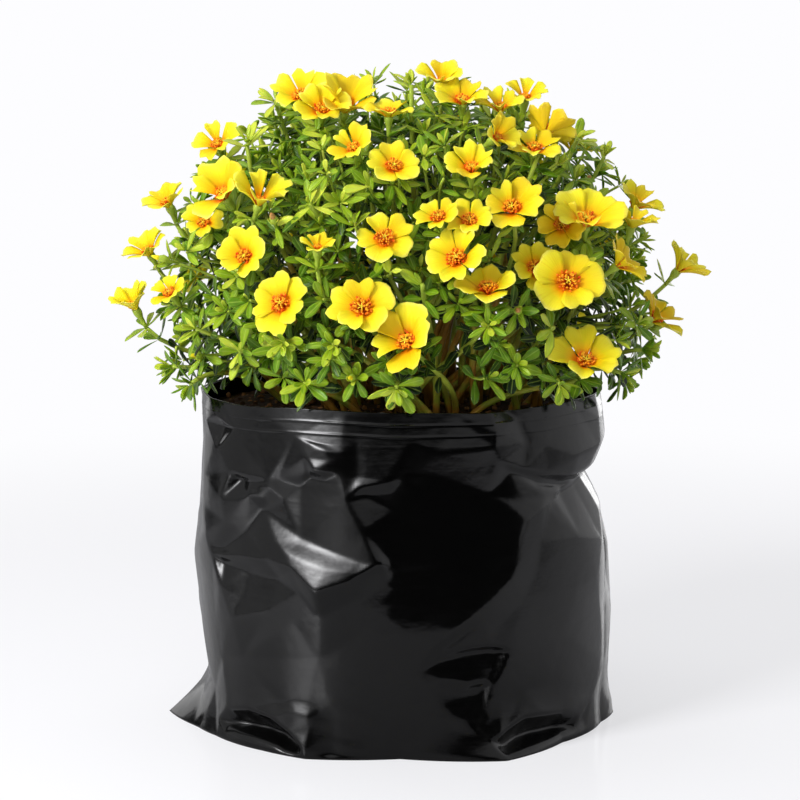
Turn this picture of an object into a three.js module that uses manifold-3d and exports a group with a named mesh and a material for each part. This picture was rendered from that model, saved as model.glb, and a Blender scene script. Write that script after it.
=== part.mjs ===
// Portulaca (yellow purslane) growing in a black polyethylene grow bag.
//
// Millimetres, +Z up. The origin is the middle of the bag's underside, on the
// ground; the front is -Y and +X is to the right when seen from the front.
// Angles round the bag and the plant are measured from the front: 0 is -Y and
// +90 is +X, and they are the parameter of an ellipse, not a compass bearing.

import * as THREE from 'three';
import { mergeVertices } from 'three/addons/utils/BufferGeometryUtils.js';
import Module from 'manifold-3d';

const wasm = await Module();
wasm.setup();

// ---------------------------------------------------------------- dimensions

const GAP = 0.35;             // clear space between neighbouring solids
const RAD = Math.PI / 180;

// The bag: 305 mm flat width, so about 610 mm round, rolled to 181 mm high.
const BAG = {
  height: 181,
  rim: [107, 84],             // half width and half depth at the rim
  bulge: 4,                   // how far the filled bag swells at mid height
  spread: [6, 2],             // extra half width and half depth at the ground
  spreadHeight: 30,
  film: 1.1,                  // the film with its folds, as one wall
  meanRadius: 97,             // for distances along the film
};
const BAG_RINGS = [0, 8, 24, 46, 68, 90, 110, 130, 150, 170, BAG.height];
const FRONT_STATIONS = 20;    // steps from -90 to +90 degrees
const BACK_STATIONS = 12;

// The outline at the ground, as offsets from the ellipse: [angle, offset].
const FOOT = [
  [-180, 3], [-150, 6], [-125, -2], [-93, 3], [-60, 0], [-38, 3], [-24, 7],
  [0, -1], [26, 12], [49, -1], [78, -2], [92, 4], [125, -2], [150, 8], [180, 3],
];
const FOOT_HEIGHT = 34;       // the foot outline fades out over this height

// The flat corner of film that lies on the ground at the left.
const EAR = { angle: -94, reach: 10, halfWidth: 20, height: 24 };

// Creases in the film: from [angle, height] to [angle, height], how far they
// stand out (or in, below zero) at both ends, and how wide the slope is on
// the left and on the right of the line.
const FOLDS = [
  { from: [-41, 128], to: [-24, 90], out: [0, 7], slope: [8, 24] },
  { from: [-24, 90], to: [-6, 106], out: [7, 2], slope: [22, 8] },
  { from: [-28, 168], to: [-21, 149], out: [1, 4], slope: [6, 16] },
  { from: [-21, 149], to: [-6, 107], out: [4, 2], slope: [16, 14] },
  { from: [-71, 162], to: [-44, 133], out: [0, -4], slope: [14, 10] },
  { from: [-42, 131], to: [-60, 98], out: [3, 4], slope: [10, 14] },
  { from: [-78, 134], to: [-72, 84], out: [2, 5], slope: [24, 18] },
  { from: [-60, 98], to: [-48, 66], out: [4, 1], slope: [14, 18] },
  { from: [-25, 86], to: [-25, 22], out: [3, 3], slope: [20, 26] },
  { from: [30, 172], to: [72, 158], out: [3, 6], slope: [14, 16] },
  { from: [28, 153], to: [58, 132], out: [-1, -6], slope: [8, 14] },
  { from: [60, 131], to: [112, 127], out: [-8, -12], slope: [20, 18] },
  { from: [56, 124], to: [33, 102], out: [5, 6], slope: [26, 14] },
  { from: [33, 102], to: [5, 48], out: [6, 3], slope: [30, 18] },
  { from: [6, 48], to: [27, 46], out: [0, -5], slope: [10, 12] },
  { from: [29, 58], to: [21, 14], out: [3, 5], slope: [22, 12] },
  { from: [34, 14], to: [60, 6], out: [-5, -3], slope: [9, 9] },
  { from: [-55, 9], to: [-33, 9], out: [-5, -5], slope: [10, 9] },
  { from: [67, 95], to: [70, 70], out: [-3, -2], slope: [9, 12] },
  { from: [150, 150], to: [172, 88], out: [3, 6], slope: [18, 24] },
  { from: [-150, 146], to: [-118, 92], out: [2, 6], slope: [20, 18] },
  { from: [-168, 120], to: [-140, 62], out: [-4, -4], slope: [16, 22] },
  { from: [172, 74], to: [140, 22], out: [5, 3], slope: [22, 16] },
  { from: [118, 110], to: [133, 44], out: [5, 3], slope: [20, 22] },
  { from: [-158, 44], to: [-128, 12], out: [4, 3], slope: [16, 14] },
];

// The potting soil fills the bag to the ring of points below the rim, and is
// heaped a little in the middle.
const SOIL = { ring: 173, top: 175, ringScale: 0.62 };

// The plant's outline, a dome of leaves: upper and lower half ellipsoids.
const DOME = { x: 4, z: 225, a: 134, b: 108, up: 127, down: 92 };
const CORE = { scale: 0.77, floor: 178, bumps: 0.05, zigzag: 0.06, around: 18, levels: 7 };
const CROWN_REACH = 0.42;     // blooms and sprigs nearer the middle than this
const CROWN_CORE = 0.29;      // belong to the crown, whose core has this reach
const SHOOTS = 9;             // leafy shoots round the crown
const PEG = { radius: 3.1, crown: 5, ring: [56, 44], depth: 20 };

const STEM = { radius: 1.2, root: 1.5, steps: 2 };
const LEAF = { length: 17.5, width: 7, thick: 0.9, widest: 0.58, crest: 0.52, least: 0.18 };
const BUD_LEAF = { raise: 10, length: 2.6, width: 1.2 };
const HUB = { radius: 1.7, half: 0.4 };   // the stem's end, where its leaves meet
const PETAL = { thick: 0.9, boss: 0.13 };
const EYE = new THREE.Vector3(0, -1420, 407);
const SEED = 4.73;

// Blooms at the front and sides. Each is given by the point where the line
// from EYE to its middle crosses the upright plane y = 0: across and up. Then
// its width, the way it faces (turned to the right, raised), how closed its
// cup is from 0 to 1, and how far it sits below the dome.
const BLOOMS = [
  [-53, 338, 32, -25, 42, 0.45, 0], [-41, 331, 30, 5, 50, 0.50, 0],
  [-28, 332, 32, 20, 55, 0.70, 9], [-25, 310, 27, -20, 38, 0.50, 0],
  [-6, 330, 26, 0, 80, 0.30, 0], [-3, 301, 28, 5, 45, 0.35, 0],
  [22, 345, 26, 0, 60, 0.60, 0], [33, 336, 27, 0, 60, 0.50, 0],
  [53, 332, 26, 0, 65, 0.50, 0], [66, 337, 21, 5, 65, 0.60, 0],
  [78, 320, 30, 160, 40, 0.40, 0], [71, 311, 28, 5, 60, 0.35, 0],
  [52, 315, 24, 45, 30, 0.60, 0], [38, 300, 28, 0, 55, 0.50, 0],
  [59, 279, 33, -12, 46, 0.40, 0], [99, 273, 38, 0, 54, 0.50, 0],
  [86, 269, 27, -8, 28, 0.35, 14], [126, 281, 28, 50, 60, 0.50, 0],
  [124, 271, 26, 70, 75, 0.50, 0], [37, 272, 26, 0, 45, 0.30, 0],
  [20, 274, 25, -20, 50, 0.30, 0], [29, 252, 34, -28, 37, 0.35, 0],
  [47, 237, 33, 0, 65, 0.35, 0], [90, 239, 35, 5, 28, 0.25, 0],
  [72, 246, 27, 5, 30, 0.35, 20], [119, 249, 28, 70, 40, 0.50, 0],
  [150, 246, 24, 75, 50, 0.70, 0], [138, 220, 30, 70, 45, 0.50, 0],
  [100, 197, 36, 15, 48, 0.45, 0], [2, 207, 40, -30, 34, 0.50, 0],
  [-21, 225, 35, -12, 30, 0.30, 0], [-65, 227, 33, -28, 26, 0.32, 0],
  [-84, 252, 29, -24, 30, 0.40, 0], [-8, 263, 30, 0, 45, 0.20, 0],
  [-44, 257, 17, 0, 70, 0.55, 0], [-95, 286, 35, -30, 40, 0.58, 0],
  [-74, 282, 28, 30, 56, 0.72, 0], [-97, 312, 25, -20, 42, 0.50, 0],
  [-124, 282, 27, -50, 65, 0.50, 0], [-135, 256, 27, -60, 60, 0.50, 0],
  [-143, 226, 26, -65, 60, 0.60, 0], [-105, 270, 24, -20, 30, 0.40, 8],
  [-124, 233, 22, -40, 45, 0.40, 0],
];
const BACK_BLOOMS = { tries: 34, low: 205, high: 335, apart: 49, width: 30 };

// Leafy tips without a bloom that show at the front and over the rim: across,
// up, turned to the right, raised.
const SPRIGS = [
  [-66, 334, -30, 60], [-81, 311, -10, 75],
  [6, 342, 0, 80], [94, 314, 40, 60], [108, 304, 50, 60],
  [131, 201, 80, 0], [120, 188, 70, -20], [-122, 192, -80, 5],
  [-113, 182, -70, -40], [-2, 180, 0, -20], [-51, 183, -5, 20],
  [86, 182, 15, -30], [-109, 212, -60, 20], [-36, 204, -10, 5],
  [-62, 205, -20, -5], [-86, 200, -30, 0], [12, 236, 0, 25],
];
const FILL = { tries: 150, low: 190, high: 340, apart: 23, depth: 0.94 };

const COLOURS = {
  film: { color: 0x0b0b0c, roughness: 0.18, metalness: 0 },
  soil: { color: 0x2a1d14, roughness: 0.95, metalness: 0 },
  green: { color: 0x5f9a24, roughness: 0.5, metalness: 0 },
  petal: { color: 0xf7d51a, roughness: 0.55, metalness: 0 },
};

// ------------------------------------------------------------------- helpers

const vec = (x, y, z) => new THREE.Vector3(x, y, z);
const mix = (a, b, t) => a + (b - a) * t;
const clamp = (v, low, high) => Math.min(high, Math.max(low, v));
const wrap = (degrees) => ((((degrees + 180) % 360) + 360) % 360) - 180;

// A repeatable draw from 0 to 1 for item i and purpose k.
function draw(i, k) {
  const wave = Math.sin(SEED + i * 12.9898 + k * 78.233) * 43758.5453;
  return wave - Math.floor(wave);
}
const spread = (i, k, reach) => (draw(i, k) * 2 - 1) * reach;

function solidOf(geometry) {
  geometry.deleteAttribute('normal');
  geometry.deleteAttribute('uv');
  const merged = mergeVertices(geometry, 1e-4);
  return new wasm.Manifold(new wasm.Mesh({
    numProp: 3,
    vertProperties: new Float32Array(merged.getAttribute('position').array),
    triVerts: new Uint32Array(merged.getIndex().array),
  }));
}

function solidOfFaces(points, faces) {
  return new wasm.Manifold(new wasm.Mesh({
    numProp: 3,
    vertProperties: new Float32Array(points.flatMap((p) => [p.x, p.y, p.z])),
    triVerts: new Uint32Array(faces.flat()),
  }));
}

// The largest connected piece, without the crumbs that a union can leave.
function largest(solid) {
  const pieces = solid.decompose();
  return pieces.reduce((best, piece) => (piece.volume() > best.volume() ? piece : best));
}

function meshOf(solid, name, look) {
  const { vertProperties, triVerts } = solid.getMesh();
  const geometry = new THREE.BufferGeometry();
  geometry.setAttribute('position', new THREE.BufferAttribute(new Float32Array(vertProperties), 3));
  geometry.setIndex(new THREE.BufferAttribute(new Uint32Array(triVerts), 1));
  geometry.computeVertexNormals();
  const mesh = new THREE.Mesh(geometry, new THREE.MeshStandardMaterial(look));
  mesh.name = name;
  return mesh;
}

// Upright frame whose third axis is `axis`.
function frameAlong(axis) {
  const up = axis.clone().normalize();
  const side = Math.abs(up.z) > 0.95 ? vec(1, 0, 0) : vec(0, 0, 1);
  const x = side.clone().cross(up).normalize();
  return { x, y: up.clone().cross(x), up };
}

// The direction that is turned to the right of the front and raised.
function facing(turn, tilt) {
  const flat = Math.cos(tilt * RAD);
  return vec(Math.sin(turn * RAD) * flat, -Math.cos(turn * RAD) * flat, Math.sin(tilt * RAD));
}

// ----------------------------------------------------------------------- bag

// Height of a crease at a point of the film: a ridge with straight slopes.
function foldAt(fold, angle, height) {
  const perDegree = BAG.meanRadius * RAD;
  const along = [wrap(fold.to[0] - fold.from[0]) * perDegree, fold.to[1] - fold.from[1]];
  const at = [wrap(angle - fold.from[0]) * perDegree, height - fold.from[1]];
  const length = Math.hypot(...along);
  const t = clamp((at[0] * along[0] + at[1] * along[1]) / length ** 2, 0, 1);
  const off = [at[0] - along[0] * t, at[1] - along[1] * t];
  const side = along[0] * off[1] - along[1] * off[0] > 0 ? 0 : 1;
  return Math.max(0, 1 - Math.hypot(...off) / fold.slope[side]) * mix(...fold.out, t);
}

function footAt(angle, height) {
  const fade = clamp(1 - height / FOOT_HEIGHT, 0, 1) ** 1.5;
  const i = FOOT.findIndex(([start], n) => n > 0 && wrap(angle) <= start);
  const [a, b] = [FOOT[i - 1], FOOT[i]];
  return fade * mix(a[1], b[1], (wrap(angle) - a[0]) / (b[0] - a[0]));
}

function earAt(angle, height) {
  const side = 1 - Math.abs(wrap(angle - EAR.angle)) / EAR.halfWidth;
  return EAR.reach * Math.max(0, side) * Math.max(0, 1 - height / EAR.height);
}

// A point of the film, `inset` inside its outer face.
function wallPoint(angle, height, inset) {
  const swell = BAG.bulge * Math.sin((Math.PI * height) / BAG.height);
  const low = clamp(1 - height / BAG.spreadHeight, 0, 1) ** 2;
  const relief = FOLDS.reduce((sum, fold) => sum + foldAt(fold, angle, height), 0);
  const out = swell + relief + footAt(angle, height) - inset + (inset ? 0 : earAt(angle, height));
  return vec(
    (BAG.rim[0] + BAG.spread[0] * low + out) * Math.sin(angle * RAD),
    -(BAG.rim[1] + BAG.spread[1] * low + out) * Math.cos(angle * RAD),
    height,
  );
}

function stations() {
  const front = Array.from({ length: FRONT_STATIONS }, (_, i) => -90 + (180 / FRONT_STATIONS) * i);
  const back = Array.from({ length: BACK_STATIONS }, (_, i) => 90 + (180 / BACK_STATIONS) * i);
  return [...front, ...back];
}

// A closed solid through rings of points, from one end point to the other. The
// quads of rings that run back down, from `downFrom` on, are split the other
// way, so that an inner wall has the same triangles as the outer one.
function closedOfRings(start, rings, end, downFrom = rings.length) {
  const count = rings[0].length;
  const points = [start, ...rings.flat(), end];
  const last = points.length - 1;
  const faces = [];
  for (let i = 0; i < count; i += 1) {
    const j = (i + 1) % count;
    for (let r = 0; r < rings.length - 1; r += 1) {
      const [a, b] = [1 + r * count + i, 1 + r * count + j];
      const [c, d] = [a + count, b + count];
      faces.push(...(r < downFrom ? [[a, b, d], [a, d, c]] : [[a, b, c], [b, d, c]]));
    }
    faces.push([0, 1 + j, 1 + i], [last, last - count + i, last - count + j]);
  }
  return solidOfFaces(points, faces);
}

function buildBag() {
  const angles = stations();
  const outer = BAG_RINGS.map((h) => angles.map((a) => wallPoint(a, h, 0)));
  const inner = BAG_RINGS.map((h) => angles.map((a) => wallPoint(a, h, BAG.film)));
  inner[0].forEach((p) => { p.z = BAG.film; });
  return closedOfRings(vec(0, 0, 0), [...outer, ...inner.reverse()], vec(0, 0, BAG.film), outer.length);
}

function buildSoil(pegs) {
  const angles = stations();
  const inset = BAG.film + GAP;
  const walls = BAG_RINGS.slice(0, -1).map((h) => angles.map((a) => wallPoint(a, h, inset)));
  walls[0].forEach((p) => { p.z = inset; });
  const mound = walls[walls.length - 1].map((p) => (
    vec(p.x * SOIL.ringScale, p.y * SOIL.ringScale, SOIL.ring)));
  const heap = closedOfRings(vec(0, 0, inset), [...walls, mound], vec(0, 0, SOIL.top));
  return pegs.reduce((soil, peg) => (
    soil.subtract(pegSolid(peg, GAP * 1.25, GAP, SOIL.top + 5))), heap);
}

// ---------------------------------------------------------------------- pegs

// The upright foot of a shoot, standing in its hole in the soil.
function pegSolid(peg, wider, deeper, top) {
  const bottom = SOIL.ring - PEG.depth - deeper;
  const length = top - bottom;
  const geometry = new THREE.CylinderGeometry(peg.radius + wider, peg.radius + wider, length, 6);
  geometry.rotateX(Math.PI / 2);
  geometry.translate(peg.x, peg.y, bottom + length / 2);
  return solidOf(geometry);
}

function shootPegs() {
  const ring = Array.from({ length: SHOOTS }, (_, i) => {
    const angle = ((i + 0.5) * 360) / SHOOTS;
    return {
      angle,
      radius: PEG.radius,
      x: DOME.x + PEG.ring[0] * Math.sin(angle * RAD),
      y: -PEG.ring[1] * Math.cos(angle * RAD),
    };
  });
  return [{ angle: 0, radius: PEG.crown, x: DOME.x, y: 0 }, ...ring];
}

// ---------------------------------------------------------------------- dome

function domeParts(p) {
  const z = p.z - DOME.z;
  return [(p.x - DOME.x) / DOME.a, p.y / DOME.b, z / (z > 0 ? DOME.up : DOME.down)];
}
const domeDepth = (p) => Math.hypot(...domeParts(p));
const reachOf = (p) => Math.hypot(...domeParts(p).slice(0, 2));
const angleOf = (p) => Math.atan2(domeParts(p)[0], -domeParts(p)[1]) / RAD;

function domePoint(angle, height, scale) {
  const z = height - DOME.z;
  const up = z / (z > 0 ? DOME.up : DOME.down);
  const reach = Math.sqrt(Math.max(0, 1 - up * up)) * scale;
  return vec(
    DOME.x + DOME.a * reach * Math.sin(angle * RAD),
    -DOME.b * reach * Math.cos(angle * RAD),
    DOME.z + z * scale,
  );
}

function domeNormal(p) {
  const z = p.z - DOME.z;
  return vec((p.x - DOME.x) / DOME.a ** 2, p.y / DOME.b ** 2,
    z / (z > 0 ? DOME.up : DOME.down) ** 2).normalize();
}

// Where the line from EYE through (across, 0, up) meets the dome, or passes
// nearest to it, moved on by `sink`.
function onDome(across, up, sink) {
  const along = vec(across, 0, up).sub(EYE).normalize();
  const at = (y) => EYE.clone().addScaledVector(along, (y - EYE.y) / along.y);
  let best = at(-DOME.b);
  for (let y = -DOME.b - 10; y < DOME.b; y += 0.5) {
    const p = at(y);
    if (domeDepth(p) < domeDepth(best)) best = p;
    if (domeDepth(p) < 1) break;
  }
  return best.addScaledVector(along, sink);
}

// ------------------------------------------------------------- leaves, blooms

// A stem that ends in a whorl of leaves, as one closed solid. Above the leaves
// is a bud or a flower stalk. The stem has as many sides as there are leaves.
// Each blade lies flat below and is raised along its middle above.
function tipSolid(curve, axis, leaves, above) {
  const { x, y, up } = frameAlong(axis);
  const centre = curve.getPoint(1);
  const place = (right, out, high) => centre.clone()
    .addScaledVector(x, right).addScaledVector(y, out).addScaledVector(up, high);
  const count = leaves.length;
  const points = [place(0, 0, above)];
  const faces = [];
  const valleys = leaves.map((leaf, i) => {
    const next = leaves[(i + 1) % count];
    const turn = next.turn + (i === count - 1 ? 360 : 0);
    return { angle: ((leaf.turn + turn) / 2) * RAD, raise: ((leaf.raise + next.raise) / 2) * RAD };
  });
  leaves.forEach((leaf, i) => {
    const [c, s] = [Math.cos(leaf.turn * RAD), Math.sin(leaf.turn * RAD)];
    const [flat, high] = [Math.cos(leaf.raise * RAD), Math.sin(leaf.raise * RAD)];
    const blade = (along, across, thick) => place(
      c * (along * flat - thick * high) - s * across,
      s * (along * flat - thick * high) + c * across,
      along * high + thick * flat,
    );
    const { angle, raise } = valleys[i];
    const rise = (HUB.radius * Math.tan(raise)) / 2;
    points.push(
      blade(leaf.length * LEAF.widest, -leaf.width / 2, 0),
      blade(leaf.length, 0, 0),
      blade(leaf.length * LEAF.widest, leaf.width / 2, 0),
      blade(leaf.length * LEAF.crest, 0, LEAF.thick),
      place(HUB.radius * Math.cos(angle), HUB.radius * Math.sin(angle), rise + HUB.half),
      place(HUB.radius * Math.cos(angle), HUB.radius * Math.sin(angle), rise - HUB.half),
    );
    const at = 1 + i * 6;
    const before = 1 + ((i + count - 1) % count) * 6;
    const [right, tip, left, crest] = [at, at + 1, at + 2, at + 3];
    const [topA, lowA, topB, lowB] = [before + 4, before + 5, at + 4, at + 5];
    faces.push(
      [crest, topA, right], [crest, right, tip], [crest, tip, left], [crest, left, topB],
      [crest, topB, topA], [0, topA, topB],
      [lowA, left, right], [lowA, lowB, left], [right, left, tip],
      [topA, lowA, right], [lowB, topB, left],
    );
  });
  const turned = new THREE.Quaternion();
  let tangent = up.clone();
  let ring = leaves.map((_, i) => 6 + i * 6);
  for (let step = STEM.steps - 1; step >= 0; step -= 1) {
    const t = step / STEM.steps;
    const next = curve.getTangent(t);
    turned.premultiply(new THREE.Quaternion().setFromUnitVectors(tangent, next));
    tangent = next;
    const radius = mix(STEM.root, STEM.radius, t);
    const lower = valleys.map(({ angle }) => {
      const out = x.clone().multiplyScalar(Math.cos(angle)).addScaledVector(y, Math.sin(angle));
      points.push(curve.getPoint(t).addScaledVector(out.applyQuaternion(turned), radius));
      return points.length - 1;
    });
    for (let i = 0; i < count; i += 1) {
      const j = (i + 1) % count;
      faces.push([ring[i], lower[i], lower[j]], [ring[i], lower[j], ring[j]]);
    }
    ring = lower;
  }
  for (let i = 1; i < count - 1; i += 1) faces.push([ring[0], ring[i + 1], ring[i]]);
  return solidOfFaces(points, faces);
}

// A bloom of five notched petals round a boss of stamens, as one closed solid.
function bloomSolid(base, axis, width, cup, twist) {
  const { x, y, up } = frameAlong(axis);
  const slant = (20 + 60 * cup) * RAD;
  const reach = width / 2 / (Math.cos(slant) + 0.18 * Math.sin(slant));
  const onPetal = (t, angle, thick) => {
    const out = reach * (t * Math.cos(slant) + 0.18 * t * t * Math.sin(slant)) - thick * Math.sin(slant);
    const high = reach * (t - 0.22 * t * t) * Math.sin(slant) + thick * Math.cos(slant);
    return base.clone().addScaledVector(x, out * Math.cos(angle))
      .addScaledVector(y, out * Math.sin(angle)).addScaledVector(up, high);
  };
  const outline = width < 30
    ? [[0.97, -22], [0.88, 0], [0.97, 22]]
    : [[0.78, -31], [1, -15], [0.93, 0], [1, 15], [0.78, 31]];
  const rim = outline.length;
  const points = [base.clone(), base.clone().addScaledVector(up, reach * 0.24)];
  const faces = [];
  const each = rim + 4;
  for (let i = 0; i < 5; i += 1) {
    const middle = twist + i * 72;
    const at = (t, offset, thick) => onPetal(t, (middle + offset) * RAD, thick);
    points.push(
      at(0.36, -36, 0),
      at(PETAL.boss, -36, PETAL.thick),
      at(0.62, 0, PETAL.thick / 2),
      at(0.62, 0, -PETAL.thick / 2),
      ...outline.map(([t, offset]) => at(t * (1 + spread(i + width, 5, 0.04)), offset, 0)),
    );
    const here = 2 + i * each;
    const next = 2 + ((i + 1) % 5) * each;
    const edge = [here, ...outline.map((_, n) => here + 4 + n), next];
    for (let n = 0; n < rim + 1; n += 1) {
      faces.push([here + 2, edge[n], edge[n + 1]], [here + 3, edge[n + 1], edge[n]]);
    }
    faces.push(
      [here + 2, next, next + 1], [here + 2, next + 1, here + 1], [here + 2, here + 1, here],
      [1, here + 1, next + 1], [here + 3, 0, next], [here + 3, here, 0],
    );
  }
  return solidOfFaces(points, faces);
}

// -------------------------------------------------------------- plant layout

// Every bloom: where its petals meet, the way it faces, its width and cup.
function layOutBlooms() {
  const blooms = BLOOMS.map(([across, up, width, turn, tilt, cup, sink], i) => {
    const axis = facing(turn, tilt);
    return { middle: onDome(across, up, sink), axis, width, cup, twist: draw(i, 1) * 72 };
  });
  for (let i = 0; i < BACK_BLOOMS.tries; i += 1) {
    const height = mix(BACK_BLOOMS.low, BACK_BLOOMS.high, (i + 0.5) / BACK_BLOOMS.tries);
    const angle = wrap(i * 137.508);
    const middle = domePoint(angle, height, 1);
    const free = blooms.every((b) => b.middle.distanceTo(middle) > BACK_BLOOMS.apart);
    if (Math.abs(angle) > 92 && free) {
      const axis = domeNormal(middle).add(vec(spread(i, 2, 0.3), spread(i, 3, 0.3), 0.5)).normalize();
      const width = BACK_BLOOMS.width + spread(i, 4, 5);
      blooms.push({ middle, axis, width, cup: 0.4 + spread(i, 5, 0.15), twist: draw(i, 6) * 72 });
    }
  }
  blooms.forEach((bloom) => {
    bloom.base = bloom.middle.clone().addScaledVector(bloom.axis, -0.22 * bloom.width);
    bloom.solid = bloomSolid(bloom.base, bloom.axis, bloom.width, bloom.cup, bloom.twist);
  });
  return blooms;
}

// Every leafy tip: under each bloom, the listed sprigs, and sprigs that fill
// the rest of the dome evenly.
function layOutTips(blooms) {
  const tips = blooms.map((bloom, i) => {
    const stalk = 9 + spread(i, 7, 1.5);
    const hub = bloom.base.clone().addScaledVector(bloom.axis, -stalk);
    return { hub, axis: bloom.axis, above: stalk - GAP, leaves: i < BLOOMS.length ? 4 : 3, bloom: true };
  });
  SPRIGS.forEach(([across, up, turn, tilt]) => {
    tips.push({ hub: onDome(across, up, 2), axis: facing(turn, tilt), above: 3, leaves: 5 });
  });
  for (let i = 0; i < FILL.tries; i += 1) {
    const height = mix(FILL.low, FILL.high, (i + 0.5) / FILL.tries);
    const hub = domePoint(i * 137.508 + 40, height, FILL.depth + spread(i, 8, 0.03));
    const free = tips.every((tip) => tip.hub.distanceTo(hub) > FILL.apart)
      && blooms.every((b) => b.middle.distanceTo(hub) > FILL.apart);
    if (free) {
      const lean = vec(spread(i, 9, 0.3), spread(i, 10, 0.3), 0.35);
      tips.push({ hub, axis: domeNormal(hub).add(lean).normalize(), above: 3, leaves: 5 });
    }
  }
  return tips;
}

function leavesOf(tip, i) {
  return Array.from({ length: tip.leaves }, (_, n) => ({
    turn: (n * 360) / tip.leaves + spread(i * 8 + n, 11, 9) + draw(i, 12) * 40,
    raise: tip.bloom ? 12 + spread(i * 8 + n, 13, 14) : [14, 46][n % 2] + spread(i * 8 + n, 13, 9),
    length: LEAF.length + spread(i * 8 + n, 14, 2),
    width: LEAF.width + spread(i * 8 + n, 15, 0.8),
  }));
}

// ------------------------------------------------------- clear of each other

const placed = [];

function boxesApart(a, b) {
  return [0, 1, 2].some((k) => a.min[k] > b.max[k] + GAP || b.min[k] > a.max[k] + GAP);
}

function isClear(solid, owner) {
  const box = solid.boundingBox();
  return placed.every((other) => other.owner === owner || boxesApart(box, other.box)
    || solid.minGap(other.solid, GAP) > GAP * 0.99);
}

function put(solid, owner) {
  placed.push({ solid, owner, box: solid.boundingBox() });
}

// --------------------------------------------------------------------- shoots

// The dense heart of the plant, which the leaves stand out of: the dome at a
// smaller scale, with every other point of its surface drawn in.
function coreSolid() {
  const rings = [];
  for (let level = 0; level < CORE.levels; level += 1) {
    const rise = mix(-30, 80, level / (CORE.levels - 1)) * RAD;
    rings.push(Array.from({ length: CORE.around }, (_, i) => {
      const angle = (i / CORE.around) * 360;
      const rough = spread(level * CORE.around + i, 16, CORE.bumps);
      const scale = CORE.scale * (1 + rough + ((i + level) % 2 ? CORE.zigzag : -CORE.zigzag));
      const z = Math.sin(rise);
      const high = z * (z > 0 ? DOME.up : DOME.down) * scale;
      const flat = Math.cos(rise) * scale;
      return vec(DOME.x + DOME.a * flat * Math.sin(angle * RAD),
        -DOME.b * flat * Math.cos(angle * RAD), Math.max(CORE.floor, DOME.z + high));
    }));
  }
  rings[0].forEach((p) => { p.z = CORE.floor; });
  return closedOfRings(vec(DOME.x, 0, CORE.floor), rings, vec(DOME.x, 0, DOME.z + DOME.up * CORE.scale));
}

// The upright prism that a shoot's share of the heart is cut out with.
function sectorPrism(index) {
  const at = (angle, reach, shift) => {
    const [c, s] = [Math.cos(angle * RAD), Math.sin(angle * RAD)];
    return new THREE.Vector2(DOME.x + DOME.a * reach * s + shift * c, -DOME.b * reach * c + shift * s);
  };
  const outline = [];
  if (index === 0) {
    for (let i = 0; i < SHOOTS; i += 1) outline.push(at((i * 360) / SHOOTS, CROWN_CORE, 0));
  } else {
    const step = 360 / SHOOTS;
    const [from, to] = [(index - 1) * step, index * step];
    const inner = CROWN_CORE + 0.012;
    outline.push(at(from, inner, GAP), at(from, 1, GAP), at(to, 1, -GAP), at(to, inner, -GAP));
  }
  const geometry = new THREE.ExtrudeGeometry(new THREE.Shape(outline), {
    depth: DOME.up + DOME.down, bevelEnabled: false,
  });
  geometry.translate(0, 0, DOME.z - DOME.down);
  return solidOf(geometry);
}

// The shoots that could carry a tip, the likeliest first: the crown for one
// near the middle, the sector that it lies in, and the sectors next to that.
function ownersOf(tip) {
  const turn = ((angleOf(tip.hub) + 360) % 360) / (360 / SHOOTS);
  const sector = (offset) => 1 + ((Math.floor(turn) + offset + SHOOTS) % SHOOTS);
  const nextTo = turn % 1 > 0.5 ? 1 : -1;
  const sectors = [sector(0), sector(nextTo), sector(-nextTo)];
  return reachOf(tip.hub) < CROWN_REACH ? [0, ...sectors] : [...sectors, 0];
}

// Where a stem leaves the heart, inside it and inside its own sector.
function rootOf(tip, owner) {
  const [, , high] = domeParts(tip.hub);
  const height = Math.max(CORE.floor + 8, DOME.z + high * (high > 0 ? DOME.up : DOME.down) * 0.55);
  if (owner === 0) {
    const reach = Math.min(reachOf(tip.hub), CROWN_CORE) * 0.75;
    const angle = angleOf(tip.hub) * RAD;
    return vec(DOME.x + DOME.a * reach * Math.sin(angle), -DOME.b * reach * Math.cos(angle), height);
  }
  const step = 360 / SHOOTS;
  const middle = (owner - 0.5) * step;
  const angle = (middle + clamp(wrap(angleOf(tip.hub) - middle), -0.3 * step, 0.3 * step)) * RAD;
  const up = (height - DOME.z) / (height > DOME.z ? DOME.up : DOME.down);
  const reach = Math.max(CROWN_CORE + 0.06, Math.sqrt(Math.max(0, 0.34 - up * up)));
  return vec(DOME.x + DOME.a * reach * Math.sin(angle), -DOME.b * reach * Math.cos(angle), height);
}

// The curve of a stem from the heart to a tip, bowed another way where it would
// cross something of another shoot.
function stemTo(tip, owner) {
  const root = rootOf(tip, owner);
  const end = tip.hub;
  const span = root.distanceTo(end);
  const { x, y } = frameAlong(end.clone().sub(root));
  const bows = [[0, 0], [5, 0], [-5, 0], [0, 6], [0, -6], [10, 4], [-10, 4], [8, -8], [-8, -8]];
  const lift = vec(0, 0, span * 0.12);
  for (const [right, out] of bows) {
    const bend = x.clone().multiplyScalar(right).addScaledVector(y, out);
    const first = root.clone().lerp(end, 0.38).add(lift).add(bend);
    const second = end.clone().addScaledVector(tip.axis, -span * 0.32).add(bend);
    const curve = new THREE.CubicBezierCurve3(root, first, second, end);
    const bare = tipSolid(curve, tip.axis, budLeaves(tip.leaves), tip.above);
    if (isClear(bare, owner)) return { curve, bare };
  }
  return null;
}

// The short points that stand for leaves where only the stem is tried.
function budLeaves(count) {
  return Array.from({ length: count }, (_, i) => ({ ...BUD_LEAF, turn: (i * 360) / count }));
}

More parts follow.
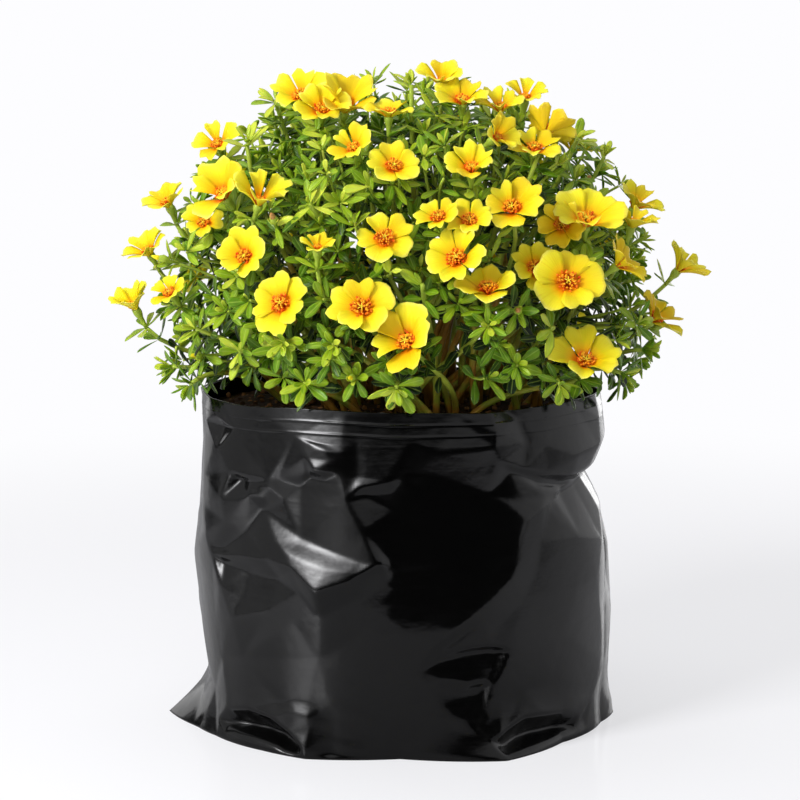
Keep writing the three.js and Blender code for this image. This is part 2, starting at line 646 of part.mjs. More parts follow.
// Leaves are shortened until they clear what isn't their own shoot's.
function fitLeaves(tip, leaves) {
  const short = new THREE.LineCurve3(tip.hub.clone().addScaledVector(tip.axis, -2), tip.hub);
  return leaves.map((leaf) => {
    const cut = (scale) => ({
      ...leaf, length: leaf.length * scale, width: leaf.width * Math.min(1, scale + 0.2),
    });
    const scale = [1, 0.8, 0.6, 0.4, 0.25].find((trial) => {
      const others = [120, 240].map((turn) => ({ ...BUD_LEAF, turn: leaf.turn + turn }));
      return isClear(tipSolid(short, tip.axis, [cut(trial), ...others], 0.6), tip.owner);
    });
    return cut(scale ?? LEAF.least);
  });
}

function buildShoots(tips, pegs) {
  const heart = coreSolid();
  const shoots = pegs.map((peg, index) => {
    const core = largest(heart.intersect(sectorPrism(index)));
    const parts = [core, pegSolid(peg, 0, 0, CORE.floor + 12)];
    parts.forEach((part) => put(part, index));
    return parts;
  });
  tips.forEach((tip) => {
    for (const owner of ownersOf(tip)) {
      tip.owner = owner;
      tip.stem = stemTo(tip, owner);
      if (tip.stem) break;
    }
    if (tip.stem) put(tip.stem.bare, tip.owner);
  });
  tips.filter((tip) => tip.stem).forEach((tip, i) => {
    const leaves = fitLeaves(tip, leavesOf(tip, i));
    const solid = tipSolid(tip.stem.curve, tip.axis, leaves, tip.above);
    put(solid, tip.owner);
    shoots[tip.owner].push(solid);
  });
  return shoots.map((parts) => largest(wasm.Manifold.union(parts)));
}

// Blooms that touch are one node, named for the numbers of all of them.
function groupBlooms(blooms) {
  const groups = [];
  blooms.forEach((bloom, i) => {
    const touching = groups.filter((other) => other.solid.minGap(bloom.solid, GAP) < GAP * 0.99);
    const joined = { solid: bloom.solid, members: [i + 1] };
    touching.forEach((other) => {
      joined.solid = joined.solid.add(other.solid);
      joined.members = [...other.members, ...joined.members];
      groups.splice(groups.indexOf(other), 1);
    });
    groups.push(joined);
  });
  return groups;
}

// ------------------------------------------------------------------- assembly

const group = new THREE.Group();
const pegs = shootPegs();
const bag = buildBag();
const soil = buildSoil(pegs);
put(bag, 'bag');
put(soil, 'soil');

const blooms = layOutBlooms();
const bloomGroups = groupBlooms(blooms);
bloomGroups.forEach(({ solid, members }) => put(solid, `bloom ${members[0]}`));
const shoots = buildShoots(layOutTips(blooms), pegs);

const two = (n) => String(n).padStart(2, '0');
group.add(meshOf(bag, 'grow_bag', COLOURS.film));
group.add(meshOf(soil, 'potting_soil', COLOURS.soil));
shoots.forEach((solid, i) => {
  group.add(meshOf(solid, i ? `leafy_shoot_${two(i)}` : 'leafy_crown', COLOURS.green));
});
bloomGroups.forEach(({ solid, members }) => {
  const numbers = members.sort((a, b) => a - b).map(two).join('_');
  group.add(meshOf(solid, `${members.length > 1 ? 'blooms' : 'bloom'}_${numbers}`, COLOURS.petal));
});

export default group;
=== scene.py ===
"""Portulaca (yellow purslane) in a black polyethylene grow bag.

Laid out as a Blender add-on. Each piece has an operator, and its sizes and colours are
properties of the scene. Lengths are worked out in millimetres and turned to metres where
a mesh is made. Angles round the bag and the plant are the parameter of an ellipse,
measured from the front: 0 is -Y and +90 is +X.
"""

from functools import partial
import math

import bpy
import numpy as np
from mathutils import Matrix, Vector
from mathutils.geometry import delaunay_2d_cdt


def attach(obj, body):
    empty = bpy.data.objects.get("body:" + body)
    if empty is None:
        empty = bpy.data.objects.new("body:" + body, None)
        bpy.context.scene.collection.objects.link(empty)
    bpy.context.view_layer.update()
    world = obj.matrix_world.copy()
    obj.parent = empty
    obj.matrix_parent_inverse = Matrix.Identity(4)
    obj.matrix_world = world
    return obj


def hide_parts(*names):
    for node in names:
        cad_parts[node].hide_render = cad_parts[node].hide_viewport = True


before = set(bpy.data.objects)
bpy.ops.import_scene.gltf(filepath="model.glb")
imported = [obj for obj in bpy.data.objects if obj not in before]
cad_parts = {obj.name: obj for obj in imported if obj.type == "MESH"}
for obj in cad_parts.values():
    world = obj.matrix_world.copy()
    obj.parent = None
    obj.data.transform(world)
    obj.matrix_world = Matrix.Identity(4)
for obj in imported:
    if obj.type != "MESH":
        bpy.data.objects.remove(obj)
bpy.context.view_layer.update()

bl_info = {
    "name": "Portulaca in a Grow Bag",
    "version": (1, 0, 0),
    "blender": (4, 5, 0),
    "location": "View3D > Sidebar > Portulaca",
    "description": "Builds a yellow portulaca with its soil and its creased black film bag",
    "category": "Add Mesh",
}

MM = 0.001
SEED = 4.73
GOLDEN_ANGLE = 137.508

# ------------------------------------------------------------------ dimensions

# The bag, as it was filled: half width and half depth at the rim, and how the film swells.
BAG_HEIGHT = 181
BAG_RIM = (107, 84)
BAG_BULGE = 4
BAG_SPREAD = (6, 2)
BAG_SPREAD_HEIGHT = 30
BAG_MEAN_RADIUS = 97
PER_DEGREE = BAG_MEAN_RADIUS * math.pi / 180  # mm of film to a degree of the round

# The outline at the ground, as offsets from the ellipse, and how high it fades out.
FOOT = [
    (-180, 3), (-150, 6), (-125, -2), (-93, 3), (-60, 0), (-38, 3), (-24, 7),
    (0, -1), (26, 12), (49, -1), (78, -2), (92, 4), (125, -2), (150, 8), (180, 3),
]
FOOT_HEIGHT = 34

# The flat corner of film that lies on the ground at the left.
EAR = {"angle": -93, "reach": 11, "half_width": 22, "height": 24}

# Creases of the film, as lines through (angle, height, how far it stands out). Between the
# lines the film is nearly flat, as in crumpled sheet. Tilts are gentle: a panel that leans
# by 5 degrees already mirrors something else.
CREASES = [
    # left corner: the folded hem, and the long ridge that turns into the side
    [(-84, 181, -1), (-70, 163, 1), (-68, 140, 2), (-67, 124, 2.4), (-63, 110, 4), (-59, 100, 4),
     (-54, 84, 4.5), (-50, 68, 4), (-47, 48, 2)],
    [(-75, 176, 0), (-67, 169, 2.4), (-59, 157, 2.6), (-52, 144, 2.4)],
    [(-66, 181, 1.8), (-60, 173, 2.6), (-52, 168, 0.8)],
    [(-60, 173, 2.6), (-58, 168, -0.4), (-59, 159, 0.6)],
    # panel under the hem at the left, and the pleat with the bright tip
    [(-52, 144, 2.4), (-38, 143, 0.4), (-25, 149, 1.2), (-23, 151, 4.8)],
    [(-29, 167, 1.2), (-25.4, 157.4, 2.9), (-23, 151, 4.8), (-15, 161, 3.0), (-12, 167, 1.4)],
    [(-29, 167, -0.8), (-15, 161, 3.0)],
    [(-25.4, 157.4, 2.9), (-19, 156.6, 3.6), (-15, 161, 3.0)],
    [(-25.4, 157.4, 2.9), (-20, 162, 3.8)],
    [(-25, 149, 1.2), (-20, 146.5, 1.8), (-16, 150, 3.6)],
    # the panel above the big pleat, and its sharp right edge
    [(-23, 151, 4.8), (-16, 150, 3.6), (-14, 137, 5.2), (-9, 122, 6.8), (-5, 106, 9)],
    # the big pleat: its upper side is lit from above
    [(-41, 127, -3), (-33.5, 121, -0.6), (-27, 115.6, 1.6), (-16, 109.5, 5.4), (-5, 106, 9)],
    [(-41, 127, -3), (-33.6, 112, 3.2), (-28, 100, 7.6), (-21, 90, 11.5)],
    [(-21, 90, 11.5), (-13, 96, 10.4), (-5, 106, 9)],
    [(-33.5, 118, 0.6), (-27, 112.6, 2.7), (-16, 106.5, 6.5), (-9, 104.6, 8.0)],
    [(-31, 108.6, 4.9), (-25, 104.6, 6.9), (-18, 101.4, 8.8), (-13, 101, 9.3)],
    # short creases between the pleat and the corner
    [(-41, 127, -3), (-40.5, 134, 0.4), (-38, 140, 0.6), (-35, 144.5, -0.6)],
    [(-39, 129, -2.4), (-33, 134, -0.6), (-28, 141, -1.6), (-25, 147, -1.5)],
    [(-50.2, 142.6, -2.4), (-55, 131.5, 4.0)],
    [(-48.9, 142.2, -3.2), (-53.6, 131, 3.2)],
    [(-46, 139.5, 0.1), (-44.6, 141.4, -0.6), (-42.4, 140.4, 0.6)],
    [(-45, 134, 1.6), (-53, 119, 3.2), (-60, 104, 3.4)],
    [(-41, 127, -3), (-47, 114, -1.5), (-56, 103, 1), (-59, 100, 4)],
    # panels below the big pleat
    [(-59, 100, 4), (-47, 101.5, 2.6), (-37, 102, 3.4), (-28, 100, 7.6)],
    [(-56, 96, 0.4), (-45, 94, -1), (-34, 93, 0.8), (-26, 88, 5.5)],
    [(-46, 80, 1.2), (-36, 76, 3), (-28, 72, 5)],
    [(-21, 90, 11.5), (-20.5, 76, 7.2), (-21.5, 52, 4.6), (-22, 30, 4.6)],
    # right collar: a pouch that hangs over a deep tuck
    [(24.5, 181, 2.6), (25.4, 171, 4.8), (25, 163, 5.4), (27, 155, 4.4), (34, 147.5, 0.4), (43, 142.5, -1.6),
     (52, 139.6, -4), (60, 138.6, -6), (68, 138.4, -8), (78, 138, -11), (94, 137, -12), (108, 137, -8),
     (122, 139, -3)],
    [(34, 150, 2.6), (43, 145.8, 2.0), (54, 143.2, 1.6), (66, 143.5, -0.8), (78, 144, -3.5)],
    [(34, 176, 0.0), (36, 163, 1.2), (43, 161, 2.2), (55, 153, 4.0), (68, 155, 4.2), (84, 160, 1.5)],
    [(58, 178, 0.6), (70, 170, 3.2), (82, 172, 1.2)],
    [(30.6, 150.4, 1.8), (40, 141, -1.6), (52, 137, -5.4)],
    [(30.6, 149.4, 1.2), (40, 139.2, 0.4), (52, 135.6, -3.4), (62, 135.2, -7.2)],
    # the ridge that turns the right half away
    [(52, 134, -5.4), (47, 130.5, -1), (41, 129, 2), (35, 124, 3.6), (32.4, 114, 4.6), (31.4, 102, 5.4),
     (29.6, 95, 5.8), (24, 85.6, 6.1), (15, 70, 6.3), (9, 61, 6.0), (5, 49, 4.8)],
    [(20, 75.6, 5.8), (16.2, 68.6, 4.9), (10.2, 59.4, 4.4), (5.8, 48.6, 4.2)],
    [(21.6, 73, 5.8), (18, 66, 5.4), (12, 57.6, 5.0)],
    [(44, 126, 0.6), (40, 112, 2.6), (38, 98, 3.4), (34, 84, 4.2), (26, 70, 4.8)],
    # shallow band between the hem and the plain front
    [(3, 166, 2.2), (10, 160.5, 3.2), (24, 155.5, 3.6)],
    [(3, 150, 0.8), (10, 148.6, 1.0), (24, 138.6, 1.0), (35, 133, 1.4), (43, 133.4, 0.2)],
    # a soft swelling with a lit tip, left of the band
    [(-11.5, 148.6, 2.8), (-10.2, 143.6, 4.9), (-3, 146.6, 4.9), (1, 148, 2.4)],
    [(-11.5, 148.6, 2.8), (-3, 146.6, 4.9)],
    [(-9, 139.6, 2.6), (-2, 141, 2.4), (3, 143, 1.6)],
    # the plain dark front, leaning back a little below its middle
    [(-1, 132, 1.6), (7, 118, 2.4), (12, 104, 3.2)],
    [(20, 124, 1.8), (18, 100, 3.8)],
    [(-5, 106, 9), (-3.6, 102, 6.6), (-3.6, 94, 5.8), (-4, 86, 5.6), (-3, 77, 5.5), (3, 68, 5.8),
     (9, 61, 6.0)],
    [(-5, 106, 9), (-2, 104.6, 3.9), (-1.4, 100, 3.8), (-1.4, 92, 4.2), (-1.6, 85, 4.8), (0, 77, 5.3)],
    [(-5, 106, 9), (-8, 98, 7.4), (-9, 88, 6.2)],
    [(-13, 84, 6.4), (-11, 66, 5.0), (-6, 40, 4.2), (-4, 18, 3.6)],
    # right side: pockets at the edge of sight, and the long crease to the foot
    [(78, 118, -1.5), (71, 104, 2.4), (65, 86, 3.8), (68, 74, 3), (77, 64, 1.4)],
    [(78, 118, -1.5), (85, 100, -1.8), (84, 82, 0), (77, 64, 1.4)],
    [(92, 122, -4), (91, 96, 1.6), (91, 60, 4.4), (91, 30, 4.6), (92, 8, 2.6)],
    [(84, 50, 3.6), (76, 32, 3.4), (66, 20, 3.2), (61, 9, 1)],
    [(56, 110, 3.2), (54, 84, 4.2), (48, 60, 4.4), (44, 34, 4.2)],
    # crumple low on the front: two dark wedges beside an overhanging panel
    [(5.8, 48.6, 4.2), (10, 53, 3.2), (17, 56.4, 2.4), (23, 57.4, 1.8), (27.6, 56, 1.8), (26.0, 47, 3.7),
     (23.8, 40.4, 4.6), (22.2, 31, 3.0), (20.8, 18, 3.4)],
    [(12, 57.6, 5.0), (18, 59.2, 5.2), (24, 59.6, 5.2), (28.8, 57, 5.4), (26.9, 47, 5.8), (24.9, 40, 6.0),
     (23.2, 31, 6.4), (21.8, 18, 4.0), (22.8, 10, 3.0), (24, 1, 2)],
    [(5.8, 48.6, 4.2), (11, 43.6, 5.2), (18, 40.6, 5.6), (23.8, 40.4, 4.6)],
    [(8.6, 48.2, 4.2), (16, 48.4, 3.9), (21, 49.2, 3.4), (26.0, 47, 3.7)],
    [(11, 29, 5.0), (16, 35, 3.4), (22.8, 37.4, 2.1)],
    [(11, 29, 5.0), (16, 22.4, 5.0), (20.8, 18, 3.4)],
    [(8, 39, 4.9), (6, 22, 4.4)],
    [(33, 35, 5.6), (31, 24, 4.4)],
    # pocket at the foot, right: an arched hood, a deep fold below it, and a lip at the ground
    [(22.8, 10, 3.0), (28, 14.6, 3.2), (34, 19.4, 4.4), (41, 19, 4.8), (50, 17, 4.2), (58, 12, 2.8),
     (61, 9, 1)],
    [(27.6, 4.8, -5.6), (33, 6.6, -8.2), (39, 7.4, -8.6), (46, 7.4, -6.6), (53, 7.4, -2.6)],
    [(26, 1.6, 1.6), (31, 3.2, 1.6), (38, 4.2, 1.8), (46, 4.6, 1.8), (56, 5.2, 1.6)],
    [(27, 0, 1.2), (40, 0.4, 1.6), (52, 1, 1.8), (62, 2, 1.4)],
    # pocket at the foot, left, with a second lip in its fold, and the bump beside it
    [(-23.5, 1, 2), (-25, 5, 4.4), (-30, 13, 5.0), (-37, 19, 4.8), (-45, 20.6, 4.0), (-54, 17.4, 2.6),
     (-60, 9, 0.6)],
    [(-27.8, 4.6, -6.0), (-33, 7.2, -8.8), (-40, 8.6, -9.4), (-47, 8.8, -7.8), (-54, 8.6, -3.2)],
    [(-33, 5.0, 1.5), (-38, 6.4, 1.5), (-43, 7.0, 1.4), (-49, 7.2, 1.2)],
    [(-26.4, 1.5, 1.8), (-31, 2.6, 2.0), (-37, 3.3, 2.2), (-46, 4.0, 2.0), (-55, 5.4, 1.2)],
    [(-28, 0.3, 1.4), (-38, 0.6, 1.6), (-48, 0.8, 1.4), (-60, 1, 0.4)],
    [(-34, 27, 3.6), (-30, 30, 4.3), (-25, 30, 4.7), (-21.6, 25, 4.9)],
    [(-31.4, 22.4, 5.2), (-28, 23, 6.0), (-24.6, 22, 6.0), (-22.6, 19, 5.0)],
    [(-18.5, 29, 4.9), (-18, 20, 3.9), (-18, 11, 2.4), (-18, 2, 0.4)],
    [(-11, 12, 3.1), (-11, 5, 2.6)],
    # left side above the ear
    [(-47, 48, 2), (-57, 36, 1.6), (-66, 24, -1.4), (-63, 10, -0.8)],
    [(-60, 66, 1.6), (-58, 44, 0.8)],
    [(-90, 165, -4), (-84, 132, -5), (-88, 110, -3), (-90, 86, -1), (-84, 66, -2), (-86, 30, -6)],
]

# The listed pockets reach the ground up to this angle on both sides.
POCKETS_TO = 66
# Where the film's two ends meet at the back: heights, and how far the film stands out there.
SEAM = [(36.0, 2.0), (72.0, -1.0), (108.0, 2.5), (144.0, -1.0)]

# Loose creases at the back, and the fine crumple everywhere: the angles between which they
# lie on both sides, their distance apart across (degrees for the creases, mm for the crumple)
# and up, the lowest row, how far out they reach, and how many cells their rounding is wide.
BACK_CREASES = {"from": 112, "to": 174, "across": 22, "up": 27, "low": 14, "out": 4.5}
CREASE_ROUNDING = (0.8, 0.9)
CRUMPLE = {"from": 0, "to": 178, "across": 18, "up": 19, "low": 4, "out": 0.2}
CRUMPLE_ROUNDING = (2.5, 3.0)

# Two weld lines along the hem, which fade to a share of their height away from the front, and
# the gentle wave of the rim: its length along the film and its height.
HEM = {"lines": (174.8, 169.0), "half_width": 0.5, "height": 0.42, "fade": 40, "least": 0.25}
HEM_FOOT = 164
RIM_WAVE = {"cell": 26, "height": 1.2}

# The unseen inner wall: every so many rows of the outer one, and how much further in it stands
# below the hem, which it reaches over a few mm of height.
INNER_WALL = {"row_step": 4, "slack": 2.6, "from": 166, "over": 16}

# The mix: columns of its grid at the front and back and rows, the gap to the film, how much
# lower its heap is at the edge than in the middle, and how far in and how high its foot is.
MIX = {"grid": (72, 48, 60), "gap": 0.9, "heap": 4.5, "foot_inset": 22, "foot": 3}
CHIP_SPREAD = (106, 83)

# The plant's outline, a dome of leaves: upper and lower half ellipsoids. Tips that are nearer
# to its middle than CROWN_REACH belong to the crown, and the others to a shoot.
DOME = {"x": 4, "z": 225, "a": 134, "b": 108, "up": 127, "down": 92}
CROWN_REACH = 0.42
SHOOTS = 9

# The camera, which the places of the front blooms are given from.
EYE = np.array([0, -1420, 407])
CAMERA = {"pitch_down": 9.33, "lens": 120.56}

# Blooms at the front and sides. Each is given by the point where the line from EYE to its
# middle crosses the upright plane y = 0: across and up. Then its width, the way it faces
# (turned to the right, raised), how closed its cup is and how far it sits below the dome.
BLOOMS = np.array([
    (-53, 338, 32, -25, 42, 0.45, 0), (-41, 331, 30, 5, 50, 0.5, 0),
    (-28, 332, 32, 20, 55, 0.7, 9), (-25, 310, 27, -20, 38, 0.5, 0),
    (-6, 330, 26, 0, 80, 0.3, 0), (-3, 301, 28, 5, 45, 0.35, 0),
    (22, 345, 26, 0, 60, 0.6, 0), (33, 336, 27, 0, 60, 0.5, 0),
    (53, 332, 26, 0, 65, 0.5, 0), (66, 337, 21, 5, 65, 0.6, 0),
    (78, 320, 30, 160, 40, 0.4, 0), (71, 311, 28, 5, 60, 0.35, 0),
    (52, 315, 24, 45, 30, 0.6, 0), (38, 300, 28, 0, 55, 0.5, 0),
    (59, 279, 33, -12, 46, 0.4, 0), (99, 273, 38, 0, 54, 0.5, 0),
    (86, 269, 27, -8, 28, 0.35, 14), (126, 281, 28, 50, 60, 0.5, 0),
    (124, 271, 26, 70, 75, 0.5, 0), (37, 272, 26, 0, 45, 0.3, 0),
    (20, 274, 25, -20, 50, 0.3, 0), (29, 252, 34, -28, 37, 0.35, 0),
    (47, 237, 33, 0, 65, 0.35, 0), (90, 239, 35, 5, 28, 0.25, 0),
    (72, 246, 27, 5, 30, 0.35, 20), (119, 249, 28, 70, 40, 0.5, 0),
    (150, 246, 24, 75, 50, 0.7, 0), (138, 220, 30, 70, 45, 0.5, 0),
    (100, 197, 36, 15, 48, 0.45, 0), (2, 207, 40, -30, 34, 0.5, 0),
    (-21, 225, 35, -12, 30, 0.3, 0), (-65, 227, 33, -28, 26, 0.32, 0),
    (-84, 252, 29, -24, 30, 0.4, 0), (-8, 263, 30, 0, 45, 0.2, 0),
    (-44, 257, 17, 0, 70, 0.55, 0), (-95, 286, 35, -30, 40, 0.58, 0),
    (-74, 282, 28, 30, 56, 0.72, 0), (-97, 312, 25, -20, 42, 0.5, 0),
    (-124, 282, 27, -50, 65, 0.5, 0), (-135, 256, 27, -60, 60, 0.5, 0),
    (-143, 226, 26, -65, 60, 0.6, 0), (-105, 270, 24, -20, 30, 0.4, 8),
    (-124, 233, 22, -40, 45, 0.4, 0),
])
OLDER_AND_SHADED_BLOOMS = [2, 10, 16, 25, 27]  # of the list above, from 0: their petals are painted a deeper gold, as painted shade for 2, 10 and 16, which lie in shade, and for the dull old petals of 25 and 27

# Blooms of the back, beyond an angle from the front: a spiral of tries between two heights.
BACK_BLOOMS = {"from": 92, "tries": 34, "low": 205, "high": 335, "apart": 49, "width": 30, "cup": 0.4}

# A bloom: how much its petals rise when it is flat, and how much more when its cup is closed,
# in degrees. From its middle to its base, as a share of its width. The length of its stalk.
PETAL_RISE = (20, 60)
BASE_DROP = 0.22
STALK = 9
TYPICAL_BLOOM = 32
# The space that a bloom opens into: from below its base to so many half widths above it,
# wider by a share of the height.
BLOOM_SPACE = {"below": 1.5, "above": 2.2, "flare": 0.25}

# Leafy tips without a bloom: across, up, turned to the right, raised.
SPRIGS = np.array([
    (-66, 334, -30, 60), (-81, 311, -10, 75), (6, 342, 0, 80), (94, 314, 40, 60),
    (108, 304, 50, 60), (131, 201, 80, 0), (120, 188, 70, -20), (-122, 192, -80, 5),
    (-113, 182, -70, -40), (-2, 180, 0, -20), (-51, 183, -5, 20), (86, 182, 15, -30),
    (-109, 212, -60, 20), (-36, 204, -10, 5), (-62, 205, -20, -5), (-86, 200, -30, 0),
    (12, 236, 0, 25),
])

# Leafy tips that fill the dome where no other is nearer than "apart", and the side shoots
# between them, each a spiral that starts at a turn and climbs from "low" to "high". "depth" is
# a share of the dome's size, which a draw lowers by up to "deeper". Over the crest's height
# the side shoots lie lower by another share.
FILL = {"tries": 150, "turn": 40, "low": 190, "high": 340, "apart": 23, "depth": 0.94}
SIDE_SHOOTS = {"turn": 77, "low": 186, "high": 351.5, "depth": 0.99, "deeper": 0.27}
CREST = {"from": 325, "over": 15, "lower": 0.05}
# Side shoots are thinned out. At the front the share that is kept grows from none to all over
# a range of heights, which starts lower at the left of an x. Beside the front and below
# "side_top" one share is kept.
THINNED = {"front_edge": 95, "from": 180, "over": 90, "left_of": -20, "left_lower": 36,
           "side_top": 245, "side_share": 0.36}

# ------------------------------------------------------------------ small helpers

SLIGHT = 1e-6  # what the rounding of numbers may add


def linear(hex_code):
    """An sRGB colour such as #5f9a24 as the linear numbers that Blender works in."""
    srgb = [int(hex_code[i:i + 2], 16) / 255 for i in (1, 3, 5)]
    return tuple(c / 12.92 if c <= 0.04045 else ((c + 0.055) / 1.055) ** 2.4 for c in srgb)


def draw(item, purpose):
    """A repeatable draw from 0 to 1: the fraction of a large multiple of a sine. Each use has
    a number of its own as its purpose."""
    wave = np.sin(SEED + np.asarray(item) * 12.9898 + purpose * 78.233) * 43758.5453
    return wave - np.floor(wave)


def spread(item, purpose, reach):
    """A repeatable draw from -reach to +reach."""
    return (draw(item, purpose) * 2 - 1) * reach


def mix(a, b, t):
    """The value a share t of the way from a to b."""
    return a + (b - a) * t


def wrapped(degrees):
    """The same angle, from -180 up to 180."""
    return (np.asarray(degrees) + 180) % 360 - 180


def unit(vectors):
    """Vectors scaled to a length of 1."""
    return vectors / np.linalg.norm(vectors, axis=-1, keepdims=True)


def dot(a, b):
    """The sum of the products of two vectors' parts."""
    return np.sum(a * b, axis=-1)


def axes_across(axis):
    """Two directions square to each axis, in the way that the solids were turned."""
    helper = np.where(np.abs(axis[:, 2:3]) > 0.95, [1.0, 0, 0], [0, 0, 1.0])
    x = unit(np.cross(helper, axis))
    return x, np.cross(axis, x)


def around_axis(x, y, angle):
    """The directions at the angles (..., n) from x towards y, as (..., n, 3)."""
    return x * np.cos(angle)[..., None] + y * np.sin(angle)[..., None]


def smooth_noise(x, y, cell, purpose):
    """Value noise from -1 to 1: draws on a square lattice of cells, eased between corners."""
    column, row = np.floor(x / cell), np.floor(y / cell)
    across, up = x / cell - column, y / cell - row
    across, up = across ** 2 * (3 - 2 * across), up ** 2 * (3 - 2 * up)
    at = [[draw(column + i + (row + j) * 57, purpose) for i in (0, 1)] for j in (0, 1)]
    return mix(mix(at[0][0], at[0][1], across), mix(at[1][0], at[1][1], across), up) * 2 - 1


# ------------------------------------------------------------------ meshes


def grid_faces(rows, columns, closed=False):
    """Quads of a grid of points. Along the rows, then along the columns, is outwards."""
    row, column = np.meshgrid(np.arange(rows - 1), np.arange(columns if closed else columns - 1),
                              indexing="ij")
    nearer, further = row * columns, (row + 1) * columns
    beside = (column + 1) % columns
    return np.stack([nearer + column, further + column, further + beside, nearer + beside],
                    axis=-1).reshape(-1, 4)


def repeated(faces, count, points_each):
    """The same faces for each of `count` copies of a shape."""
    return (faces[None] + (np.arange(count) * points_each)[:, None, None]).reshape(-1, faces.shape[1])


def tube_faces(rows, around):
    """Quads between closed rings of points, and the triangles that close both ends on the two
    points that come after the rings."""
    side = np.arange(around)
    beside = (side + 1) % around
    start, last = rows * around, (rows - 1) * around
    caps = np.concatenate([np.stack([np.full(around, start), beside, side], axis=1),
                           np.stack([np.full(around, start + 1), last + side, last + beside], axis=1)])
    return grid_faces(rows, around, closed=True)[:, ::-1], caps


class Form:
    """Points, faces and attributes that are gathered into one mesh."""

    def __init__(self):
        self.points, self.faces, self.uvs, self.tones = [], [], [], []
        self.count = 0

    def add(self, points, faces, uv=None, tone=0.5, material=0):
        """Adds one shape, or many copies of one: points (..., 3) and lists of quads and triangles."""
        flat = points.reshape(-1, 3)
        self.points.append(flat)
        self.uvs.append(np.zeros((len(flat), 2)) if uv is None else uv.reshape(-1, 2))
        self.tones.append(np.broadcast_to(tone, points.shape[:-1]).reshape(-1))
        self.faces += [(part + self.count, material) for part in faces if len(part)]
        self.count += len(flat)

    def piece(self, name, materials, nodes):
        """Makes the object, in metres, riding on the plant's one body and standing for `nodes`."""
        corners = np.concatenate([part.ravel() for part, _ in self.faces])
        sizes = np.concatenate([np.full(len(part), part.shape[1]) for part, _ in self.faces])
        index = np.concatenate([np.full(len(part), material) for part, material in self.faces])
        mesh = bpy.data.meshes.new(name)
        mesh.vertices.add(self.count)
        mesh.vertices.foreach_set("co", (np.concatenate(self.points) * MM).astype(np.float32).ravel())
        mesh.loops.add(len(corners))
        mesh.loops.foreach_set("vertex_index", corners.astype(np.int32))
        mesh.polygons.add(len(sizes))
        mesh.polygons.foreach_set("loop_start", (np.cumsum(sizes) - sizes).astype(np.int32))
        mesh.polygons.foreach_set("material_index", index.astype(np.int32))
        mesh.polygons.foreach_set("use_smooth", np.ones(len(sizes), dtype=bool))
        mesh.uv_layers.new(name="UVMap")
        uv = np.concatenate(self.uvs)[corners]
        mesh.uv_layers["UVMap"].data.foreach_set("uv", uv.astype(np.float32).ravel())
        tone = mesh.attributes.new("tone", "FLOAT", "POINT")
        tone.data.foreach_set("value", np.concatenate(self.tones).astype(np.float32))
        mesh.update(calc_edges=True)
        mesh.validate()
        for material in materials:
            mesh.materials.append(material)
        made = bpy.data.objects.new(name, mesh)
        bpy.context.scene.collection.objects.link(made)
        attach(made, "root")
        if nodes:
            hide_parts(*nodes)


def tubes(paths, radii, sides):
    """Round bars along paths: at each of a path's points a ring of `sides` points is turned
    square to the path, and each end closes on a point. Paths are (count, points, 3)."""
    count, steps = paths.shape[:2]
    along = unit(np.gradient(paths, axis=1))
    span = paths[:, -1] - paths[:, 0]
    level = np.cross(span, [0, 0, 1.0])
    level = np.where(np.linalg.norm(level, axis=1, keepdims=True) < SLIGHT, [1.0, 0, 0], level)
    level = unit(level)[:, None]
    first = unit(level - dot(level, along)[..., None] * along)
    second = np.cross(along, first)
    angle = np.arange(sides) * 2 * math.pi / sides
    ring = (first[:, :, None] * np.cos(angle)[:, None] + second[:, :, None] * np.sin(angle)[:, None])
    radii = np.broadcast_to(radii, (count, steps))
    rings = paths[:, :, None] + ring * radii[:, :, None, None]
    points = np.concatenate([rings.reshape(count, -1, 3), paths[:, :1], paths[:, -1:]], axis=1)
    return points, [repeated(faces, count, points.shape[1]) for faces in tube_faces(steps, sides)]


def closed_sheet(front, back):
    """A thin sheet: a front and a back grid of points (count, rows, columns, 3), joined all round."""
    count, rows, columns = front.shape[:3]
    each = rows * columns
    quads = grid_faces(rows, columns)
    number = np.arange(each).reshape(rows, columns)
    edge = np.concatenate([number[0, :-1], number[:-1, -1], number[-1, :0:-1], number[:0:-1, 0]])
    after = np.roll(edge, -1)
    band = np.stack([edge, after, after + each, edge + each], axis=1)
    faces = np.concatenate([quads, quads[:, ::-1] + each, band])
    points = np.concatenate([front.reshape(count, each, 3), back.reshape(count, each, 3)], axis=1)
    return points, [repeated(faces, count, 2 * each)]


# ------------------------------------------------------------------ materials


def add_node(owner, kind, inputs=(), **settings):
    """Adds a shader node to a material or world, with its settings, and sets or links its
    inputs by name or number. `stops` gives a colour ramp its positions and colours."""
    made = owner.node_tree.nodes.new("ShaderNode" + kind)
    stops = settings.pop("stops", None)
    for name, value in settings.items():
        setattr(made, name, value)
    for name, value in dict(inputs).items():
        if isinstance(value, bpy.types.NodeSocket):
            owner.node_tree.links.new(value, made.inputs[name])
        else:
            made.inputs[name].default_value = value
    if stops:
        elements = made.color_ramp.elements
        while len(elements) < len(stops):
            elements.new(0.5)
        for element, (position, colour) in zip(elements, stops):
            element.position = position
            element.color = (*colour, 1)
    return made


def without_nodes(owner):
    """Clears a new material or world, and returns it with the function that adds nodes to it."""
    owner.use_nodes = True
    owner.node_tree.nodes.clear()
    return owner, partial(add_node, owner)


